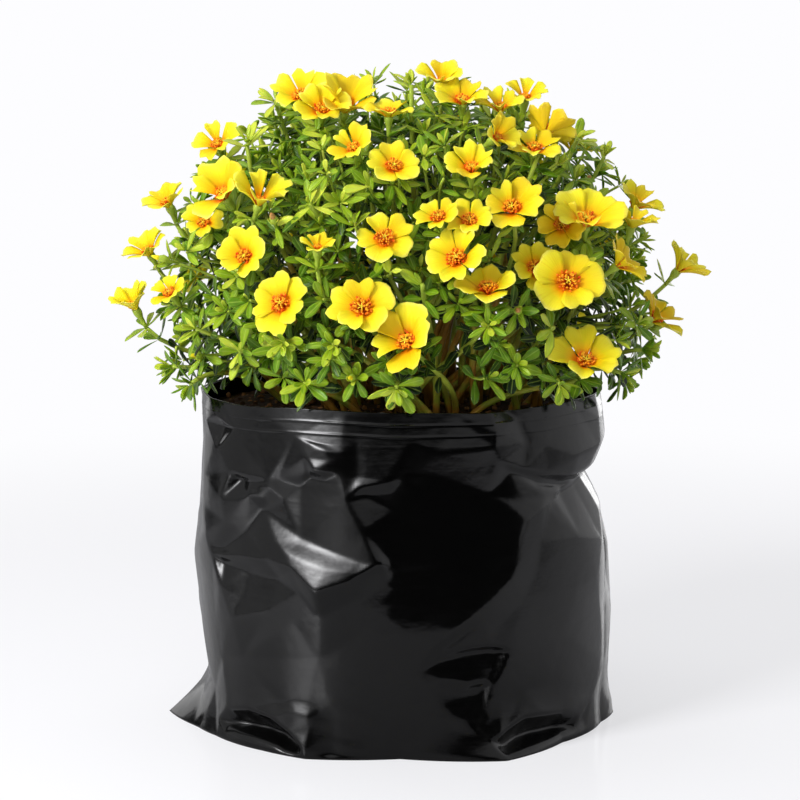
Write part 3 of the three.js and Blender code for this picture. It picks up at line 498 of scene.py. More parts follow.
def film_material(film):
    """Blown low-density polyethylene with carbon black: a black body under a glossy skin. The
    eye sees mirror-like panels, very slightly hazy, with fine drawn streaks along the web."""
    material, node = without_nodes(bpy.data.materials.new("black_blown_polyethylene_film"))
    web = node("UVMap", uv_map="UVMap").outputs["UV"]
    streaks = node("Mapping", {"Vector": web, "Scale": (55, 420, 1)})
    # drawn streaks about 2.5 mm apart, drawn coarser than real ones so that they show
    drawn = node("TexNoise", {"Vector": streaks.outputs[0], "Scale": 1, "Detail": 3})
    # handling crinkles, 6 mm across
    crinkle = node("TexNoise", {"Vector": web, "Scale": 160, "Detail": 2, "Roughness": 0.45})
    haze = node("MapRange", {"Value": drawn.outputs["Fac"], "From Min": 0.3, "From Max": 0.7,
                             "To Min": film.roughness - 0.03, "To Max": film.roughness + 0.05})
    low = node("Bump", {"Height": crinkle.outputs["Fac"], "Strength": 0.25, "Distance": 0.0005})
    fine = node("Bump", {"Height": drawn.outputs["Fac"], "Strength": 0.12, "Distance": 0.0002,
                         "Normal": low.outputs["Normal"]})
    surface = node("BsdfPrincipled", {
        "Base Color": (*film.colour, 1), "Roughness": haze.outputs["Result"], "IOR": 1.51,
        "Specular IOR Level": 0.44, "Normal": fine.outputs["Normal"]})
    node("OutputMaterial", {"Surface": surface.outputs["BSDF"]})
    return material


def soil_material(soil):
    """Moist peat and bark potting mix: dark brown crumbs with paler fibres, no shine."""
    material, node = without_nodes(bpy.data.materials.new("moist_bark_potting_mix"))
    at = node("TexCoord").outputs["Object"]
    tone = node("Attribute", attribute_name="tone").outputs["Fac"]
    # crumbs 3 mm and 1 mm across
    crumb = node("TexNoise", {"Vector": at, "Scale": 330, "Detail": 4})
    blend = node("Math", {0: crumb.outputs["Fac"], 1: tone}, operation="ADD")
    colour = node("ValToRGB", {"Fac": blend.outputs[0]}, stops=[
        (0.55, linear("#120c08")), (0.95, tuple(soil.colour)), (1.35, linear("#7a5634"))])
    grain = node("TexNoise", {"Vector": at, "Scale": 1000, "Detail": 3})
    bump = node("Bump", {"Height": grain.outputs["Fac"], "Strength": 0.7, "Distance": 0.0006})
    surface = node("BsdfPrincipled", {
        "Base Color": colour.outputs["Color"], "Roughness": 0.92, "Specular IOR Level": 0.25,
        "Normal": bump.outputs["Normal"]})
    node("OutputMaterial", {"Surface": surface.outputs["BSDF"]})
    return material


def leaf_material(leaves):
    """Fleshy leaf with a thin wax bloom: deep green to yellow-green from leaf to leaf, darker where the tone
    carries painted shade deep in the plant and low down, a paler rib and margin, a soft shine, and light
    that shows through a little."""
    material, node = without_nodes(bpy.data.materials.new("fleshy_purslane_leaf"))
    tone = node("Attribute", attribute_name="tone").outputs["Fac"]
    at = node("TexCoord").outputs["Object"]
    # patches of deeper green 8 mm across
    patch = node("TexNoise", {"Vector": at, "Scale": 120, "Detail": 3})
    varied = node("MapRange", {"Value": patch.outputs["Fac"], "From Min": 0.3, "From Max": 0.7,
                               "To Min": -0.16, "To Max": 0.16})
    shade = node("Math", {0: tone, 1: varied.outputs["Result"]}, operation="ADD", use_clamp=True)
    # the darkest stops are reached by leaves deep in the plant and low down, whose tone carries painted
    # shade
    body = node("ValToRGB", {"Fac": shade.outputs[0]}, stops=[
        (0.0, linear("#10240a")), (0.35, tuple(leaves.deep_colour)), (0.72, tuple(leaves.colour)),
        (1.0, tuple(leaves.young_colour))])
    # the rib in the middle and the margins, by the distance from the middle: 0.5 is the margin
    uv = node("SeparateXYZ", {0: node("UVMap", uv_map="UVMap").outputs["UV"]})
    off_rib = node("Math", {0: uv.outputs["X"], 1: 0.5}, operation="SUBTRACT")
    away = node("Math", {0: off_rib.outputs[0]}, operation="ABSOLUTE")
    rib = node("MapRange", {"Value": away.outputs[0], "From Min": 0.02, "From Max": 0.07,
                            "To Min": 0.45, "To Max": 0.0})
    ribbed = node("Mix", {0: rib.outputs["Result"], 6: body.outputs["Color"],
                          7: (*linear("#a9c455"), 1)}, data_type="RGBA")
    margin = node("MapRange", {"Value": away.outputs[0], "From Min": 0.42, "From Max": 0.5,
                               "To Min": 0.0, "To Max": 0.4})
    edged = node("Mix", {0: margin.outputs["Result"], 6: ribbed.outputs[2],
                         7: (*linear("#9db84a"), 1)}, data_type="RGBA")
    # skin cells, drawn 0.7 mm across so that they show
    cells = node("TexNoise", {"Vector": at, "Scale": 1400, "Detail": 2})
    bump = node("Bump", {"Height": cells.outputs["Fac"], "Strength": 0.2, "Distance": 0.0003})
    surface = node("BsdfPrincipled", {
        "Base Color": edged.outputs[2], "Roughness": 0.36, "IOR": 1.4, "Specular IOR Level": 0.55,
        "Subsurface Weight": 0.22, "Subsurface Radius": (0.5, 1.0, 0.15), "Subsurface Scale": 0.0012,
        "Normal": bump.outputs["Normal"]})
    node("OutputMaterial", {"Surface": surface.outputs["BSDF"]})
    return material


def stem_material(stems):
    """Succulent stem: green flushed with red-brown, paler and more yellow where it is young."""
    material, node = without_nodes(bpy.data.materials.new("succulent_stem"))
    tone = node("Attribute", attribute_name="tone").outputs["Fac"]
    at = node("TexCoord").outputs["Object"]
    # the flush comes in patches 17 mm long
    flush = node("TexNoise", {"Vector": at, "Scale": 60, "Detail": 3})
    blend = node("Math", {0: flush.outputs["Fac"], 1: tone}, operation="ADD")
    colour = node("ValToRGB", {"Fac": blend.outputs[0]}, stops=[
        (0.42, linear("#84601f")), (0.56, tuple(stems.old_colour)), (0.7, tuple(stems.colour)),
        (1.0, linear("#9cb23c"))])
    # a skin with fine pimples, 1 mm apart
    skin = node("TexNoise", {"Vector": at, "Scale": 900, "Detail": 2})
    bump = node("Bump", {"Height": skin.outputs["Fac"], "Strength": 0.3, "Distance": 0.0003})
    surface = node("BsdfPrincipled", {
        "Base Color": colour.outputs["Color"], "Roughness": 0.42, "IOR": 1.42,
        "Subsurface Weight": 0.12, "Subsurface Radius": (1.0, 0.7, 0.2), "Subsurface Scale": 0.001,
        "Normal": bump.outputs["Normal"]})
    node("OutputMaterial", {"Surface": surface.outputs["BSDF"]})
    return material


def petal_material(blooms):
    """Petal: thin satin tissue, clear yellow, deeper along its veins and orange at the claw, with a pale tip
    that is a painted highlight, and a deeper gold on some petals that is partly age and partly painted
    shade. Light passes through it, so a shaded petal still looks warm."""
    material, node = without_nodes(bpy.data.materials.new("satin_yellow_petal"))
    uv = node("UVMap", uv_map="UVMap").outputs["UV"]
    split = node("SeparateXYZ", {0: uv})
    tone = node("Attribute", attribute_name="tone").outputs["Fac"]
    # the ramp runs from the claw to the tip: its palest stop at the tip is a painted highlight
    body = node("ValToRGB", {"Fac": split.outputs["Y"]}, stops=[
        (0.0, linear("#e4600e")), (0.2, linear("#ee7c12")), (0.3, tuple(blooms.throat_colour)),
        (0.41, linear("#eeb911")), (0.59, tuple(blooms.petal_colour)), (0.86, linear("#f2e436")),
        (1.0, linear("#f6ec70"))])
    # veins fan out from the claw, about 1 mm apart at the widest
    fan = node("Mapping", {"Vector": uv, "Scale": (26, 1.2, 1)})
    vein = node("TexNoise", {"Vector": fan.outputs[0], "Scale": 1, "Detail": 2})
    veined = node("MapRange", {"Value": vein.outputs["Fac"], "From Min": 0.5, "From Max": 0.75,
                               "To Min": 0.0, "To Max": 0.45})
    lined = node("Mix", {0: veined.outputs["Result"], 6: body.outputs["Color"],
                         7: (*linear("#e0b210"), 1)}, data_type="RGBA")
    # petals with a high tone are painted a deeper gold: partly for petals that have been open longer, partly
    # as painted shade, for the listed blooms that lie in shade and for shading among the petals
    aged_and_shaded = node("MapRange", {"Value": tone, "From Min": 0.6, "From Max": 1.0, "To Min": 0.0, "To Max": 0.5})
    colour = node("Mix", {0: aged_and_shaded.outputs["Result"], 6: lined.outputs[2],
                          7: (*linear("#e5ac0a"), 1)}, data_type="RGBA")
    bump = node("Bump", {"Height": vein.outputs["Fac"], "Strength": 0.35, "Distance": 0.0004})
    surface = node("BsdfPrincipled", {
        "Base Color": colour.outputs[2], "Roughness": 0.5, "IOR": 1.4, "Specular IOR Level": 0.3,
        "Subsurface Weight": 0.3, "Subsurface Radius": (1.0, 0.75, 0.12), "Subsurface Scale": 0.0015,
        "Normal": bump.outputs["Normal"]})
    node("OutputMaterial", {"Surface": surface.outputs["BSDF"]})
    return material


def pollen_material(name, dark, light, grit):
    """Filaments and anthers: matt and grainy with pollen, from a darker to a lighter tone."""
    material, node = without_nodes(bpy.data.materials.new(name))
    tone = node("Attribute", attribute_name="tone").outputs["Fac"]
    at = node("TexCoord").outputs["Object"]
    grain = node("TexNoise", {"Vector": at, "Scale": grit, "Detail": 2})
    blend = node("Math", {0: grain.outputs["Fac"], 1: tone}, operation="ADD")
    colour = node("ValToRGB", {"Fac": blend.outputs[0]}, stops=[(0.6, linear(dark)), (1.3, linear(light))])
    bump = node("Bump", {"Height": grain.outputs["Fac"], "Strength": 0.5, "Distance": 0.0002})
    surface = node("BsdfPrincipled", {
        "Base Color": colour.outputs["Color"], "Roughness": 0.7, "Subsurface Weight": 0.2,
        "Subsurface Scale": 0.0008, "Normal": bump.outputs["Normal"]})
    node("OutputMaterial", {"Surface": surface.outputs["BSDF"]})
    return material


# ------------------------------------------------------------------ the film

NEAR = 1e-3  # corners of the net that are closer than this are one corner, in mm
JITTER = 0.38  # how far a loose corner may leave its place, as a share of the distance apart
CLEAR = (6, 16)  # loose corners keep so far from the ground and from the rim
FRONT_EDGE = 100  # the film's columns are close together up to this angle on both sides
BOTTOM_RING = np.array([0.5, 0.5, 1])  # a ring half way in on each bottom
PATTERN_END = -40  # where the film's pattern ends, under the bottom, where it doesn't show


def facet_net(lines, columns, rows):
    """Height of a net of flat facets at each point of a grid. The lines' corners are joined
    into triangles that keep every line as an edge, and between three corners the height is
    the plane through them."""
    number, corners, edges = {}, [], []
    for line in lines:
        for corner in line:
            if corner[:2] not in number:
                number[corner[:2]] = len(corners)
                corners.append(corner)
        edges += [(number[a[:2]], number[b[:2]]) for a, b in zip(line, line[1:])]
    flat = [Vector((angle * PER_DEGREE, height)) for angle, height, _ in corners]
    verts, _, faces, origin = delaunay_2d_cdt(flat, edges, [], 0, NEAR)[:4]
    out = np.array([corners[source[0]][2] if source else np.nan for source in origin])
    at = np.array([tuple(v) for v in verts])
    # a point where two lines cross stands out as far as the corner nearest to it
    for crossing in np.flatnonzero(np.isnan(out)):
        near = np.linalg.norm(at - at[crossing], axis=1)
        near[np.isnan(out)] = np.inf
        out[crossing] = out[np.argmin(near)]
    relief = np.zeros((len(rows), len(columns)))
    for face in faces:
        a, b, c = at[face[0]], at[face[1]], at[face[2]]
        low, high = np.minimum(np.minimum(a, b), c), np.maximum(np.maximum(a, b), c)
        across = slice(*np.searchsorted(columns, [low[0] - NEAR, high[0] + NEAR]))
        up = slice(*np.searchsorted(rows, [low[1] - NEAR, high[1] + NEAR]))
        x, y = np.meshgrid(columns[across], rows[up])
        area = (b[0] - a[0]) * (c[1] - a[1]) - (c[0] - a[0]) * (b[1] - a[1])
        if x.size == 0 or abs(area) < SLIGHT:
            continue
        second = ((x - a[0]) * (c[1] - a[1]) - (c[0] - a[0]) * (y - a[1])) / area
        third = ((b[0] - a[0]) * (y - a[1]) - (x - a[0]) * (b[1] - a[1])) / area
        inside = (second >= -SLIGHT) & (third >= -SLIGHT) & (second + third <= 1 + SLIGHT)
        first = out[face[0]]
        value = first + second * (out[face[1]] - first) + third * (out[face[2]] - first)
        block = relief[up, across]
        block[inside] = value[inside]
    return relief


def loose_points(layout, apart, purpose):
    """Single corners on a jittered lattice, `apart` degrees from one another and layout["up"]
    mm in height, as lines of one point, where the layout's range of angles has them."""
    made = []
    for j, height in enumerate(np.arange(layout["low"], BAG_HEIGHT, layout["up"])):
        for i, angle in enumerate(np.arange(-180, 181, apart)):
            item = i + j * 101
            across = angle + spread(item, purpose, apart * JITTER)
            up = height + spread(item, purpose + 1, layout["up"] * JITTER)
            if layout["from"] <= abs(across) < layout["to"] and CLEAR[0] < up < BAG_HEIGHT - CLEAR[1]:
                made.append([(float(across), float(up), float(spread(item, purpose + 2, layout["out"])))])
    return made


def rounded(relief, across, up):
    """Rounds the creases: a running mean with bell-shaped weights, `across` and `up` cells wide."""
    for axis, width in ((1, across), (0, up)):
        reach = int(math.ceil(width * 2.5))
        weights = np.exp(-0.5 * (np.arange(-reach, reach + 1) / width) ** 2)
        padding = [(0, 0), (0, 0)]
        padding[axis] = (reach, reach)
        padded = np.pad(relief, padding, mode="wrap" if axis else "edge")
        size = relief.shape[axis]
        relief = sum(w * np.take(padded, range(k, k + size), axis=axis)
                     for k, w in enumerate(weights / weights.sum()))
    return relief


def frame_lines():
    """The borders of the net: the rim, the ground beside the listed pockets, and the line at
    the back where its two ends meet."""
    angles = [float(angle) for angle in range(-180, 181, 15)]
    top = [[(angle, float(BAG_HEIGHT), 0.0)] for angle in angles]
    low = [[(angle, 0.0, 0.0)] for angle in angles if abs(angle) >= POCKETS_TO]
    seam = [[(side, height, out)] for side in (-180.0, 180.0) for height, out in SEAM]
    return top + low + seam


def film_relief(angles, heights):
    """How far the film stands out of its swollen ellipse: the listed creases, loose creases
    at the back, a fine crumple everywhere, and two weld lines along the hem."""
    columns = np.append(angles, 180.0) * PER_DEGREE
    borders = frame_lines()
    back = loose_points(BACK_CREASES, BACK_CREASES["across"], 21)
    crumple = loose_points(CRUMPLE, CRUMPLE["across"] / PER_DEGREE, 31)
    level = [[(angle, height, 0.0)] for [(angle, height, _)] in borders]
    large = facet_net(CREASES + back + borders, columns, heights)[:, :-1]
    fine = facet_net(crumple + level, columns, heights)[:, :-1]
    relief = rounded(large, *CREASE_ROUNDING) + rounded(fine, *CRUMPLE_ROUNDING)
    angle, height = np.meshgrid(angles, heights)
    plain = np.clip(1 - np.abs(angle + 2) / HEM["fade"], HEM["least"], 1)
    for line in HEM["lines"]:
        at = line + 0.5 * smooth_noise(angle, angle * 0, 14, 41)
        relief += plain * HEM["height"] * np.exp(-((height - at) / HEM["half_width"]) ** 2)
    return relief


def film_points(angles, heights, relief, inset=0.0, outer=False):
    """Points of the film. Each lies on an ellipse that swells by a half sine of the height and
    spreads by the square of the nearness to the ground, moved out by the relief, the foot's
    outline and the folded ear, and in by `inset`. The rim alone waves up and down."""
    angle, height = np.meshgrid(angles, heights)
    swell = BAG_BULGE * np.sin(math.pi * height / BAG_HEIGHT)
    low = np.clip(1 - height / BAG_SPREAD_HEIGHT, 0, 1) ** 2
    foot = np.interp(angle, *zip(*FOOT)) * np.clip(1 - height / FOOT_HEIGHT, 0, 1) ** 1.5
    beside = np.clip(1 - np.abs(wrapped(angle - EAR["angle"])) / EAR["half_width"], 0, 1)
    ear = EAR["reach"] * beside ** 1.3 * np.clip(1 - height / EAR["height"], 0, 1)
    out = swell + relief + foot - inset + (ear if outer else 0)
    turn = np.radians(angle)
    at_rim = (height / BAG_HEIGHT) ** 12
    noise = smooth_noise(angle, angle * 0, RIM_WAVE["cell"], 43)
    wave = at_rim * (RIM_WAVE["height"] * noise - RIM_WAVE["height"] / 2)
    return np.stack([
        (BAG_RIM[0] + BAG_SPREAD[0] * low + out) * np.sin(turn),
        -(BAG_RIM[1] + BAG_SPREAD[1] * low + out) * np.cos(turn),
        height + wave], axis=-1)


def film_grid(front, back, up):
    """Angles, close together at the front and wider at the back, and heights, close together
    in the hem."""
    angles = np.concatenate([np.linspace(-FRONT_EDGE, FRONT_EDGE, front, endpoint=False),
                             np.linspace(FRONT_EDGE, 360 - FRONT_EDGE, back, endpoint=False)])
    hem = np.linspace(HEM_FOOT, BAG_HEIGHT, up // 5)
    below = np.linspace(0, HEM_FOOT, up - len(hem), endpoint=False)
    return np.sort(wrapped(angles)), np.concatenate([below, hem])


def build_film(film):
    """The bag: an outer wall, an inner wall inside it, and both bottoms, as one closed skin."""
    angles, heights = film_grid(film.front_steps, film.back_steps, film.height_steps)
    relief = film_relief(angles, heights)
    outer = film_points(angles, heights, relief, outer=True)
    rows = np.arange(len(heights) - 1, -1, -INNER_WALL["row_step"])
    below_hem = np.clip((INNER_WALL["from"] - heights[rows]) / INNER_WALL["over"], 0, 1)[:, None]
    thickness = film.thickness / MM
    inner = film_points(angles, heights[rows], relief[rows], thickness + INNER_WALL["slack"] * below_hem)
    inner[-1, :, 2] = thickness
    under, inside = outer[0] * BOTTOM_RING, inner[-1] * BOTTOM_RING
    rings = np.concatenate([under[None], outer, inner, inside[None]])
    along = np.concatenate([[PATTERN_END], heights, heights[rows], [PATTERN_END]])
    uv = np.stack(np.meshgrid(angles * PER_DEGREE * MM, along * MM), axis=-1)
    form = Form()
    form.add(np.concatenate([rings.reshape(-1, 3), [[0, 0, 0], [0, 0, thickness]]]),
             tube_faces(len(rings), len(angles)),
             np.concatenate([uv.reshape(-1, 2), np.zeros((2, 2))]))
    form.piece("bag_film", [film_material(film)], ["grow_bag"])


# ------------------------------------------------------------------ the soil

# along a chip of bark: places from end to end, and the share of its radius there
CHIP_PLACES = np.array([-1, -0.55, 0.1, 0.7, 1])
CHIP_RADII = np.array([0.35, 1, 1.25, 0.9, 0.3])
# least length and radius of a chip, and how much a draw adds
CHIP_LENGTH = (2.2, 6)
CHIP_RADIUS = (0.6, 0.9)


def heap_height(soil, far):
    """The heap's height: lower by the square of the distance from its middle."""
    return soil.top / MM - MIX["heap"] * far ** 2


def bark_chips(soil):
    """Chips of bark on a golden-angle spiral over the heap, as bars that are thickest in the
    middle, each turned, tilted and sized by a draw. Returns their points, faces and tones."""
    chip = np.arange(soil.chips)
    turn, far = np.radians(chip * GOLDEN_ANGLE), np.sqrt((chip + 0.5) / soil.chips) * 0.93
    middle = np.stack([CHIP_SPREAD[0] * far * np.sin(turn), -CHIP_SPREAD[1] * far * np.cos(turn),
                       heap_height(soil, far) + spread(chip, 53, 1.0) + 0.6], axis=1)
    heading = draw(chip, 54) * 2 * math.pi
    along = np.stack([np.cos(heading), np.sin(heading), spread(chip, 56, 0.35)], axis=1)
    half_length = (CHIP_LENGTH[0] + draw(chip, 55) ** 2 * CHIP_LENGTH[1])[:, None] / 2
    radius = (CHIP_RADIUS[0] + draw(chip, 57) * CHIP_RADIUS[1])[:, None]
    path = middle[:, None] + along[:, None] * (half_length * CHIP_PLACES)[..., None]
    points, faces = tubes(path, radius * CHIP_RADII, 5)
    return points, faces, (0.25 + 0.55 * draw(chip, 58))[:, None]


def build_soil(soil, film):
    """Potting mix heaped in the bag: a lumpy round top, sides that narrow to a hidden flat
    foot, and chips of bark lying on it."""
    angles, heights = film_grid(*MIX["grid"])
    relief = film_relief(angles, heights)
    row = int(np.searchsorted(heights, soil.top / MM - 5))
    edge = film_points(angles, heights, relief, film.thickness / MM + MIX["gap"])[row]
    reach = np.linspace(1, 0.03, soil.rings) ** 0.85
    top = edge[None] * [1, 1, 0] * reach[:, None, None]
    x, y = top[..., 0], top[..., 1]
    lumps = smooth_noise(x, y, 16, 51) * 1.4 + smooth_noise(x, y, 5, 52)
    top[..., 2] = heap_height(soil, reach[:, None]) + lumps
    side = film_points(angles, heights[[1, row // 2, row - 4]], 0, MIX["foot_inset"])
    side[0, :, 2] = MIX["foot"]
    rings = np.concatenate([side, top])
    ends = [[0, 0, MIX["foot"]], [0, 0, float(top[-1, :, 2].mean())]]
    form = Form()
    form.add(np.concatenate([rings.reshape(-1, 3), ends]), tube_faces(len(rings), len(angles)), tone=0.3)
    points, faces, tone = bark_chips(soil)
    form.add(points, faces, tone=tone)
    form.piece("potting_mix", [soil_material(soil)], ["potting_soil"])


# ------------------------------------------------------------------ where the plant's parts are


def facing(turn, tilt):
    """The direction that is turned to the right of the front and raised, both in degrees."""
    turn, tilt = np.radians(turn), np.radians(tilt)
    return np.stack([np.sin(turn) * np.cos(tilt), -np.cos(turn) * np.cos(tilt), np.sin(tilt)], axis=-1)


def dome_parts(points):
    """Points in the dome's own measure, in which its surface is one away from its middle."""
    z = points[..., 2] - DOME["z"]
    return np.stack([(points[..., 0] - DOME["x"]) / DOME["a"], points[..., 1] / DOME["b"],
                     z / np.where(z > 0, DOME["up"], DOME["down"])], axis=-1)


def dome_point(angle, height, scale):
    """The point of the scaled dome at an angle and at an unscaled height."""
    z = height - DOME["z"]
    up = z / np.where(z > 0, DOME["up"], DOME["down"])
    reach = np.sqrt(np.maximum(0, 1 - up * up)) * scale
    turn = np.radians(angle)
    return np.stack([DOME["x"] + DOME["a"] * reach * np.sin(turn), -DOME["b"] * reach * np.cos(turn),
                     DOME["z"] + z * scale], axis=-1)


def dome_normal(points):
    """The way out of the dome: each part over the square of that half axis."""
    z = points[..., 2] - DOME["z"]
    return unit(np.stack([(points[..., 0] - DOME["x"]) / DOME["a"] ** 2, points[..., 1] / DOME["b"] ** 2,
                          z / np.where(z > 0, DOME["up"], DOME["down"]) ** 2], axis=-1))


def on_dome(across, up, sink):
    """Where the lines from EYE through (across, 0, up) meet the dome, or pass nearest to it,
    moved on by `sink`."""
    through = np.stack([across, across * 0, up], axis=-1)
    along = unit(through - EYE)
    y = np.arange(-DOME["b"] - 10, DOME["b"], 0.5)
    points = EYE + along[:, None] * ((y - EYE[1])[None] / along[:, 1:2])[..., None]
    depth = np.linalg.norm(dome_parts(points), axis=-1)
    inside = depth < 1
    first = np.where(inside.any(axis=1), inside.argmax(axis=1), depth.argmin(axis=1))
    return points[np.arange(len(across)), first] + along * np.asarray(sink)[..., None]


def lay_out_blooms():
    """Every bloom: the listed ones, then ones that fill the back evenly."""
    across, up, width, turn, tilt, cup, sink = BLOOMS.T
    middle = list(on_dome(across, up, sink))
    axis, width, cup = list(facing(turn, tilt)), list(width), list(cup)
    twist = list(draw(np.arange(len(BLOOMS)), 1) * BETWEEN_PETALS)
    for i in range(BACK_BLOOMS["tries"]):
        height = mix(BACK_BLOOMS["low"], BACK_BLOOMS["high"], (i + 0.5) / BACK_BLOOMS["tries"])
        angle = wrapped(i * GOLDEN_ANGLE)
        point = dome_point(angle, height, 1)
        free = np.linalg.norm(np.array(middle) - point, axis=1).min() > BACK_BLOOMS["apart"]
        if abs(angle) > BACK_BLOOMS["from"] and free:
            lean = np.array([spread(i, 2, 0.3), spread(i, 3, 0.3), 0.5])
            middle.append(point)
            axis.append(unit(dome_normal(point) + lean))
            width.append(BACK_BLOOMS["width"] + spread(i, 4, 5))
            cup.append(BACK_BLOOMS["cup"] + spread(i, 5, 0.15))
            twist.append(draw(i, 6) * BETWEEN_PETALS)
    middle, axis, width = np.array(middle), np.array(axis), np.array(width)
    return {"middle": middle, "axis": axis, "width": width, "cup": np.array(cup),
            "twist": np.array(twist), "base": middle - axis * BASE_DROP * width[:, None]}


def lay_out_tips(blooms):
    """Every leafy tip of the solids: under each bloom, the listed sprigs, and the fill."""
    stalk = STALK + spread(np.arange(len(blooms["width"])), 7, 1.5)
    hubs = list(blooms["base"] - blooms["axis"] * stalk[:, None])
    axes = list(blooms["axis"])
    across, up, turn, tilt = SPRIGS.T
    hubs += list(on_dome(across, up, 2 + across * 0))
    axes += list(facing(turn, tilt))
    for i in range(FILL["tries"]):
        height = mix(FILL["low"], FILL["high"], (i + 0.5) / FILL["tries"])
        hub = dome_point(i * GOLDEN_ANGLE + FILL["turn"], height, FILL["depth"] + spread(i, 8, 0.03))
        others = np.concatenate([np.array(hubs), blooms["middle"]])
        if np.linalg.norm(others - hub, axis=1).min() > FILL["apart"]:
            lean = np.array([spread(i, 9, 0.3), spread(i, 10, 0.3), 0.35])
            hubs.append(hub)
            axes.append(unit(dome_normal(hub) + lean))
    return np.array(hubs), np.array(axes)


def in_front_of_bloom(points, blooms, room):
    """Whether a point lies in the space that a bloom opens into, `room` times its half width."""
    away = points[:, None] - blooms["base"][None]
    high = dot(away, blooms["axis"][None])
    aside = np.linalg.norm(away - high[..., None] * blooms["axis"][None], axis=-1)
    half = blooms["width"][None] / 2
    return ((high > -BLOOM_SPACE["below"]) & (high < half * BLOOM_SPACE["above"])
            & (aside < half * (room + BLOOM_SPACE["flare"] * high / half))).any(axis=1)


def more_tips(leaves, blooms):
    """Leafy side shoots between the main ones, at several depths, clear of the open blooms."""
    item = np.arange(leaves.side_shoots)
    height = mix(SIDE_SHOOTS["low"], SIDE_SHOOTS["high"], (item + 0.5) / leaves.side_shoots)
    # the highest ones lie a little deeper, so that they stay below the blooms
    high = np.clip((height - CREST["from"]) / CREST["over"], 0, 1)
    depth = SIDE_SHOOTS["depth"] - SIDE_SHOOTS["deeper"] * draw(item, 61) ** 1.4 - CREST["lower"] * high
    hub = dome_point(item * GOLDEN_ANGLE + SIDE_SHOOTS["turn"], height, depth)
    lean = np.stack([spread(item, 62, 0.45), spread(item, 63, 0.45), 0.25 + spread(item, 64, 0.35)], axis=1)
    axis = unit(dome_normal(hub) + lean)
    aside = np.abs(hub[:, 0])
    front = (hub[:, 1] < 0) & (aside < THINNED["front_edge"])
    side = (aside >= THINNED["front_edge"]) & (height < THINNED["side_top"])
    # low down at the front the stems show, least of all at the left
    left = hub[:, 0] < THINNED["left_of"]
    share = (height - THINNED["from"] + THINNED["left_lower"] * left) / THINNED["over"]
    thinned = (front & (draw(item, 65) > share)) | (side & (draw(item, 66) > THINNED["side_share"]))
    clear = ~in_front_of_bloom(hub, blooms, 1.05) & ~thinned
    return hub[clear], axis[clear], depth[clear]


def owner_of(points):
    """The shoot that a tip belongs to: 0 for the crown near the middle, or its sector."""
    parts = dome_parts(points)
    turn = np.degrees(np.arctan2(parts[:, 0], -parts[:, 1])) % 360
    sector = 1 + (turn // (360 / SHOOTS)).astype(int) % SHOOTS
    return np.where(np.hypot(parts[:, 0], parts[:, 1]) < CROWN_REACH, 0, sector)


def shoot_name(owner):
    """How the names of a shoot's pieces end."""
    return f"shoot_{owner:02d}" if owner else "crown"


# ------------------------------------------------------------------ stems

ROOT_SPREAD = (58, 46)  # half width and half depth of the patch of soil that the stems rise from
# how far out a root is, as a share of that patch, and how much a draw adds: near the middle,
# and near the bag's edge for tips at the front of a y, the more so the lower they are
INNER_ROOTS = (0.25, 0.55)
OUTER_ROOTS = (1.05, 0.35)
LOW_FRONT = {"y": -20, "top": 282, "over": 40}
LOWEST_ARCH = 190  # no stem comes down below this before its tip
# along a flower stalk: shares of its length, the last at the petals' lip, and the radii, which
# widen into the green base of the bloom
STALK_SHARES = (-0.02, 0.3, 0.62, 0.84, 0.98)
STALK_RADII = np.array([1.15, 1.2, 1.45, 2.2, 2.5, 2.3])
SIDE_STEM_RADII = (0.95, 0.7)
# a side shoot comes from nearly this height on the plant's axis, by a length and a draw's
# share of another, and runs straight over its last part
SIDE_STEM = {"from": 215.0, "length": 24, "longer": 12, "straight": 10}


def bezier(points, steps):
    """Points along cubic Bezier curves: (count, 4, 3) gives (count, steps, 3)."""
    t = np.linspace(0, 1, steps)[None, :, None]
    a, b, c, d = (points[:, k:k + 1] for k in range(4))
    return a * (1 - t) ** 3 + 3 * b * t * (1 - t) ** 2 + 3 * c * t * t * (1 - t) + d * t ** 3


def main_stems(hubs, axes, soil_top):
    """Stems as cubic curves. The first handle is over the root by half the height, at least
    18 mm, and 0.22 of the way out. The second is 0.3 of the span back from the tip, along its
    axis, but not lower than LOWEST_ARCH. A draw sways the root and the first handle."""
    item = np.arange(len(hubs))
    parts = dome_parts(hubs)
    angle = np.arctan2(parts[:, 0], -parts[:, 1]) + spread(item, 71, 0.5)
    # stems to low tips at the front rise near the bag's edge, and the others nearer the middle
    low = np.clip((LOW_FRONT["top"] - hubs[:, 2]) / LOW_FRONT["over"], 0, 1)
    reach = mix(INNER_ROOTS[0] + INNER_ROOTS[1] * draw(item, 72),
                OUTER_ROOTS[0] + OUTER_ROOTS[1] * draw(item, 72), low * (hubs[:, 1] < LOW_FRONT["y"]))
    root = np.stack([DOME["x"] + ROOT_SPREAD[0] * reach * np.sin(angle),
                     -ROOT_SPREAD[1] * reach * np.cos(angle), np.full(len(item), soil_top - 4)], axis=1)
    span = np.linalg.norm(hubs - root, axis=1)[:, None]
    rise = np.maximum(18, 0.5 * (hubs[:, 2] - root[:, 2]))
    sway = np.stack([spread(item, 73, 8), spread(item, 74, 8), rise], axis=1)
    first = root + (hubs - root) * [0.22, 0.22, 0] + sway
    second = hubs - axes * span * 0.3
    second[:, 2] = np.maximum(second[:, 2], LOWEST_ARCH)
    return bezier(np.stack([root, first, second, hubs], axis=1), 11)


